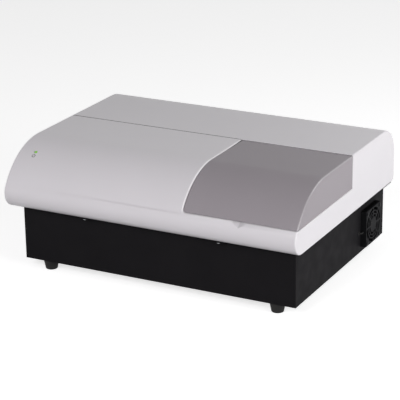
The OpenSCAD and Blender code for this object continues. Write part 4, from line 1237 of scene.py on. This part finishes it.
@dataclass
class Screws:
    """The small pan head screws of the cover, deck, rear panel, hinges and fan."""

    head_r: float = 2.8
    head_h: float = 1.6
    head_round: float = 0.7
    shank_r: float = 1.5
    slot_w: float = 0.8
    slot_r: float = 1.7
    slot_deep: float = 0.9
    case: tuple[Row, ...] = (
        # Hinge leaves, under the top of the cover
        Row((99.5, 216.5), (29.3028, 39.3028), (189.7,), (0, 0, -1), 7.0),
        # Cover on the deck: below the lip and at the sides
        Row((-117.0, 117.0), (-174.418,), (104.5,), (0, 0, -1), 9.0),
        Row((-244.5, 244.5), (-127.0, 120.0), (104.5,), (0, 0, -1), 4.5),
        # Deck on the flanges of the base: at the sides and at the front
        Row((-227.5, 233.0), (-127.0, 120.0), (103.0,), (0, 0, -1), 3.5),
        Row((-175.0, 2.75, 180.5), (-159.5,), (103.0,), (0, 0, -1), 3.5),
        # Rear panel
        Row((-227.5, 233.0), (180.0,), (28.5, 92.5), (0, 1, 0), 6.0),
    )
    fan: tuple[Row, ...] = (Row((250.5,), (89.0, 139.0), (31.5, 81.5), (1, 0, 0), 14.0),)

    def one(self) -> Object:
        """Models one screw at the origin: its head lies above Z zero and its shank below."""
        head = rod("screw", (0, 0, 0), (0, 0, self.head_h), self.head_r, 40)
        round_edges(head, self.head_round, 4, lambda point: point.z > self.head_h - NEAR)
        for across, along in ((self.slot_w, self.slot_r * 2), (self.slot_r * 2, self.slot_w)):
            combine(head, block("slot", (-across / 2, -along / 2, self.head_h - self.slot_deep),
                                (across / 2, along / 2, self.head_h + 1)), Join.CUT)
        return smooth(head)

    def build(self, reader: Reader) -> None:
        """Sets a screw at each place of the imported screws.

        Args:
            reader: The whole reader.
        """
        model = self.one()
        for name, rows, finish in (("pan_head_screws", self.case, Finish.ZINC),
                                   ("fan_screws", self.fan, Finish.BLACKENED)):
            pieces = [piece for row in rows for seat in product(row.xs, row.ys, row.zs)
                      for piece in self.set_one(model, Vector(seat), Vector(row.out), row.shank)]
            reader.stand_in(smooth(merge(pieces, name)), "machine_screws", finish)
        bpy.data.objects.remove(model)

    def set_one(self, model: Object, seat: Vector, out: Vector,
                shank: float) -> tuple[Object, Object]:
        """Copies a screw's head to its seat and adds the shank.

        Args:
            model: The head at the origin.
            seat: Place of the head.
            out: Way from the shank to the head.
            shank: Length of the shank.

        Returns:
            Head and shank.
        """
        head = model.copy()
        head.data = model.data.copy()
        bpy.context.scene.collection.objects.link(head)
        turn = out.to_track_quat("Z", "Y").to_matrix().to_4x4()
        head.matrix_world = Matrix.Translation(seat * MM) @ turn
        return settle(head), rod("shank", seat, seat - out * shank, self.shank_r, 20)


@dataclass(frozen=True)
class Group:
    """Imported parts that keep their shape, but for slightly rounded edges where they are sharp.

    Attributes:
        soft: Width of the rounding and finish of the rounded parts, by node names with spaces.
        plain: Node names, with spaces between them, by finish.
    """

    soft: dict[str, tuple[float, Finish]]
    plain: dict[Finish, str]

    def build(self, reader: Reader) -> None:
        """Rounds and dresses the parts.

        Args:
            reader: The whole reader.
        """
        for names, (width, finish) in self.soft.items():
            for node in names.split():
                reader.soften(node, width, finish)
        reader.dress_nodes(self.plain)


# Inlet, switch and sockets in the rear panel, and the screws in the feet
FITTINGS = Group({"inlet_housing fuse_drawer switch_frame switch_rocker": (0.3, Finish.NYLON),
                  "usb_socket serial_socket": (0.2, Finish.NICKEL)},
                 {Finish.ZINC: "foot_screws", Finish.NICKEL: "inlet_pins", Finish.TUBE: "fuses"})

INSIDE = (
    # The slim fan on the right wall
    Group({"fan_frame": (0.5, Finish.FAN), "fan_rotor": (0.25, Finish.FAN)},
          {Finish.RUBBER: "fan_lead fan_grommet"}),
    # The carriage that takes the plate to the optics, and its drive
    Group({"carriage": (0.5, Finish.ANODISED), "plate_lever": (0.4, Finish.ACETAL),
           "rod_supports belt_grip": (0.4, Finish.MILLED), "drive_motor": (0.6, Finish.ENAMEL)},
          {Finish.GROUND: "guide_rods idler_axle lever_pin", Finish.BRONZE: "carriage_bushes",
           Finish.BELT: "drive_belt", Finish.MILLED: "drive_pulley idler_pulley",
           Finish.NYLON: "home_sensor"}),
    # Lamp, filter wheel, fibres, reading head and detectors
    Group({"optical_bridge detector_block": (0.5, Finish.ANODISED),
           "lamp_house filter_bracket": (0.4, Finish.MILLED),
           "filter_wheel": (0.3, Finish.ANODISED)},
          {Finish.LENS: "head_lenses condenser_lens", Finish.FILTER: "optical_filters",
           Finish.QUARTZ: "lamp_bulb", Finish.JACKET: "fibre_bundle",
           Finish.BOARD: "detector_board", Finish.ENAMEL: "filter_motor"}),
    # Boards, power supply and leads inside the base
    Group({"power_supply": (0.5, Finish.GALVANISED)},
          {Finish.BOARD: "main_board", Finish.EPOXY: "board_parts", Finish.BRASS: "board_spacers",
           Finish.RIBBON: "detector_ribbon",
           Finish.JACKET: "power_leads motor_leads signal_leads"}),
)


@dataclass
class Lamp:
    """One soft light of the studio."""

    name: str
    place: Triple
    size: float
    power: float
    tint: Triple = (1.0, 1.0, 1.0)

    def build(self, aim: Vector) -> None:
        """Adds the light and turns it to a point.

        Args:
            aim: Point that it shines at, in metres.
        """
        data = bpy.data.lights.new(self.name, "AREA")
        data.shape = "SQUARE"
        data.size = self.size
        data.energy = self.power
        data.color = self.tint
        lamp = bpy.data.objects.new(self.name, data)
        lamp.location = self.place
        lamp.rotation_euler = (aim - Vector(self.place)).to_track_quat("-Z", "Y").to_euler()
        bpy.context.scene.collection.objects.link(lamp)


@dataclass
class Studio:
    """Floor, background, soft lights and the camera at the photograph's angle."""

    azimuth: float = 27.7
    elevation: float = 19.9
    roll: float = -0.8
    distance: float = 2.7375
    target: Triple = (0.0, -0.00915, 0.1)
    focal_px: float = 1698.4
    frame_px: float = 400.0
    centre_px: Pair = (200.4, 199.6)
    sensor: float = 36.0
    view_end: float = 20.0
    ambient: float = 0.1
    floor_size: float = 12.0
    floor_tone: float = 0.7
    floor_lift: float = 0.72
    lamps: tuple[Lamp, ...] = (
        Lamp("key_right", (2.2, -0.6, 0.6), 1.2, 29.0),
        Lamp("fill_front", (-0.2, -2.05, 1.35), 0.8, 23.5, (1.0, 0.98, 0.995)),
        Lamp("back_low", (-0.02, 1.8, 0.95), 1.2, 0.6),
        Lamp("rear_right", (0.9, 0.6, 0.75), 0.5, 2.8),
    )

    def build(self) -> None:
        """Sets the studio up."""
        scene = bpy.context.scene
        scene.view_settings.view_transform = "Standard"
        self.set_camera(scene)
        self.set_world(scene)
        self.set_floor()
        for lamp in self.lamps:
            lamp.build(Vector(self.target))

    def set_camera(self, scene: Scene) -> None:
        """Adds the camera.

        Args:
            scene: The scene that it becomes the camera of.
        """
        side, rise, roll = (radians(a) for a in (self.azimuth, self.elevation, self.roll))
        back = Vector((sin(side) * cos(rise), -cos(side) * cos(rise), sin(rise)))
        right = Vector((cos(side), sin(side), 0))
        up = back.cross(right)
        turned = cos(roll) * right + sin(roll) * up
        data = bpy.data.cameras.new("photo_camera")
        data.sensor_width = self.sensor
        data.lens = self.focal_px / self.frame_px * data.sensor_width
        data.shift_x = (self.frame_px / 2 - self.centre_px[0]) / self.frame_px
        data.shift_y = (self.centre_px[1] - self.frame_px / 2) / self.frame_px
        data.clip_end = self.view_end
        camera = bpy.data.objects.new("photo_camera", data)
        turn = Matrix((turned, back.cross(turned), back)).transposed().to_4x4()
        camera.matrix_world = Matrix.Translation(Vector(self.target) + back * self.distance) @ turn
        scene.collection.objects.link(camera)
        scene.camera = camera

    def set_world(self, scene: Scene) -> None:
        """Makes the background white to the eye, in gloss and through glass, and dim as light.

        Args:
            scene: The scene to light.
        """
        scene.world = bpy.data.worlds.new("studio")
        canvas = Canvas(scene.world)
        seen = canvas.seen_by("Is Camera Ray", "Is Glossy Ray", "Is Transmission Ray")
        strength = canvas.between(seen, self.ambient, 1.0, 0, 1)
        white = canvas.add("ShaderNodeBackground", {"Color": WHITE}, {"Strength": strength})
        canvas.add("ShaderNodeOutputWorld", links={"Surface": white.outputs[0]})

    def set_floor(self) -> None:
        """Adds the pale floor, which is white to the eye and keeps the object's shadow."""
        bpy.ops.mesh.primitive_plane_add(size=self.floor_size)
        floor = bpy.context.object
        floor.name = "floor"
        material = bpy.data.materials.new("white_paper")
        canvas = Canvas(material)
        paper = canvas.add("ShaderNodeBsdfDiffuse", {"Color": (*[self.floor_tone] * 3, 1)})
        lift = canvas.add("ShaderNodeEmission", {"Color": WHITE, "Strength": self.floor_lift})
        none = canvas.add("ShaderNodeEmission", {"Strength": 0.0})
        seen = canvas.seen_by("Is Camera Ray", "Is Glossy Ray")
        shown = canvas.add("ShaderNodeMixShader",
                           links={0: seen, 1: none.outputs[0], 2: lift.outputs[0]})
        both = canvas.add("ShaderNodeAddShader", links={0: paper.outputs[0], 1: shown.outputs[0]})
        canvas.add("ShaderNodeOutputMaterial", links={"Surface": both.outputs[0]})
        floor.data.materials.append(material)


def main() -> None:
    """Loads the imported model, builds each sub-assembly and sets the studio up."""
    logging.basicConfig(level=logging.INFO, format="%(name)s: %(message)s")
    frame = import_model()
    record = frame["record"]
    slots = {part["node"]: part["material_slot"] for part in record["subparts"]}
    reader = Reader(frame["nodes"], record["behaviour"]["bodies"], slots)
    cover = Cover()
    for part in (cover, Lid(cover), StatusLight(cover), Base(), FITTINGS, Screws(), *INSIDE):
        part.build(reader)
    Studio().build()


if __name__ == "__main__":
    main()
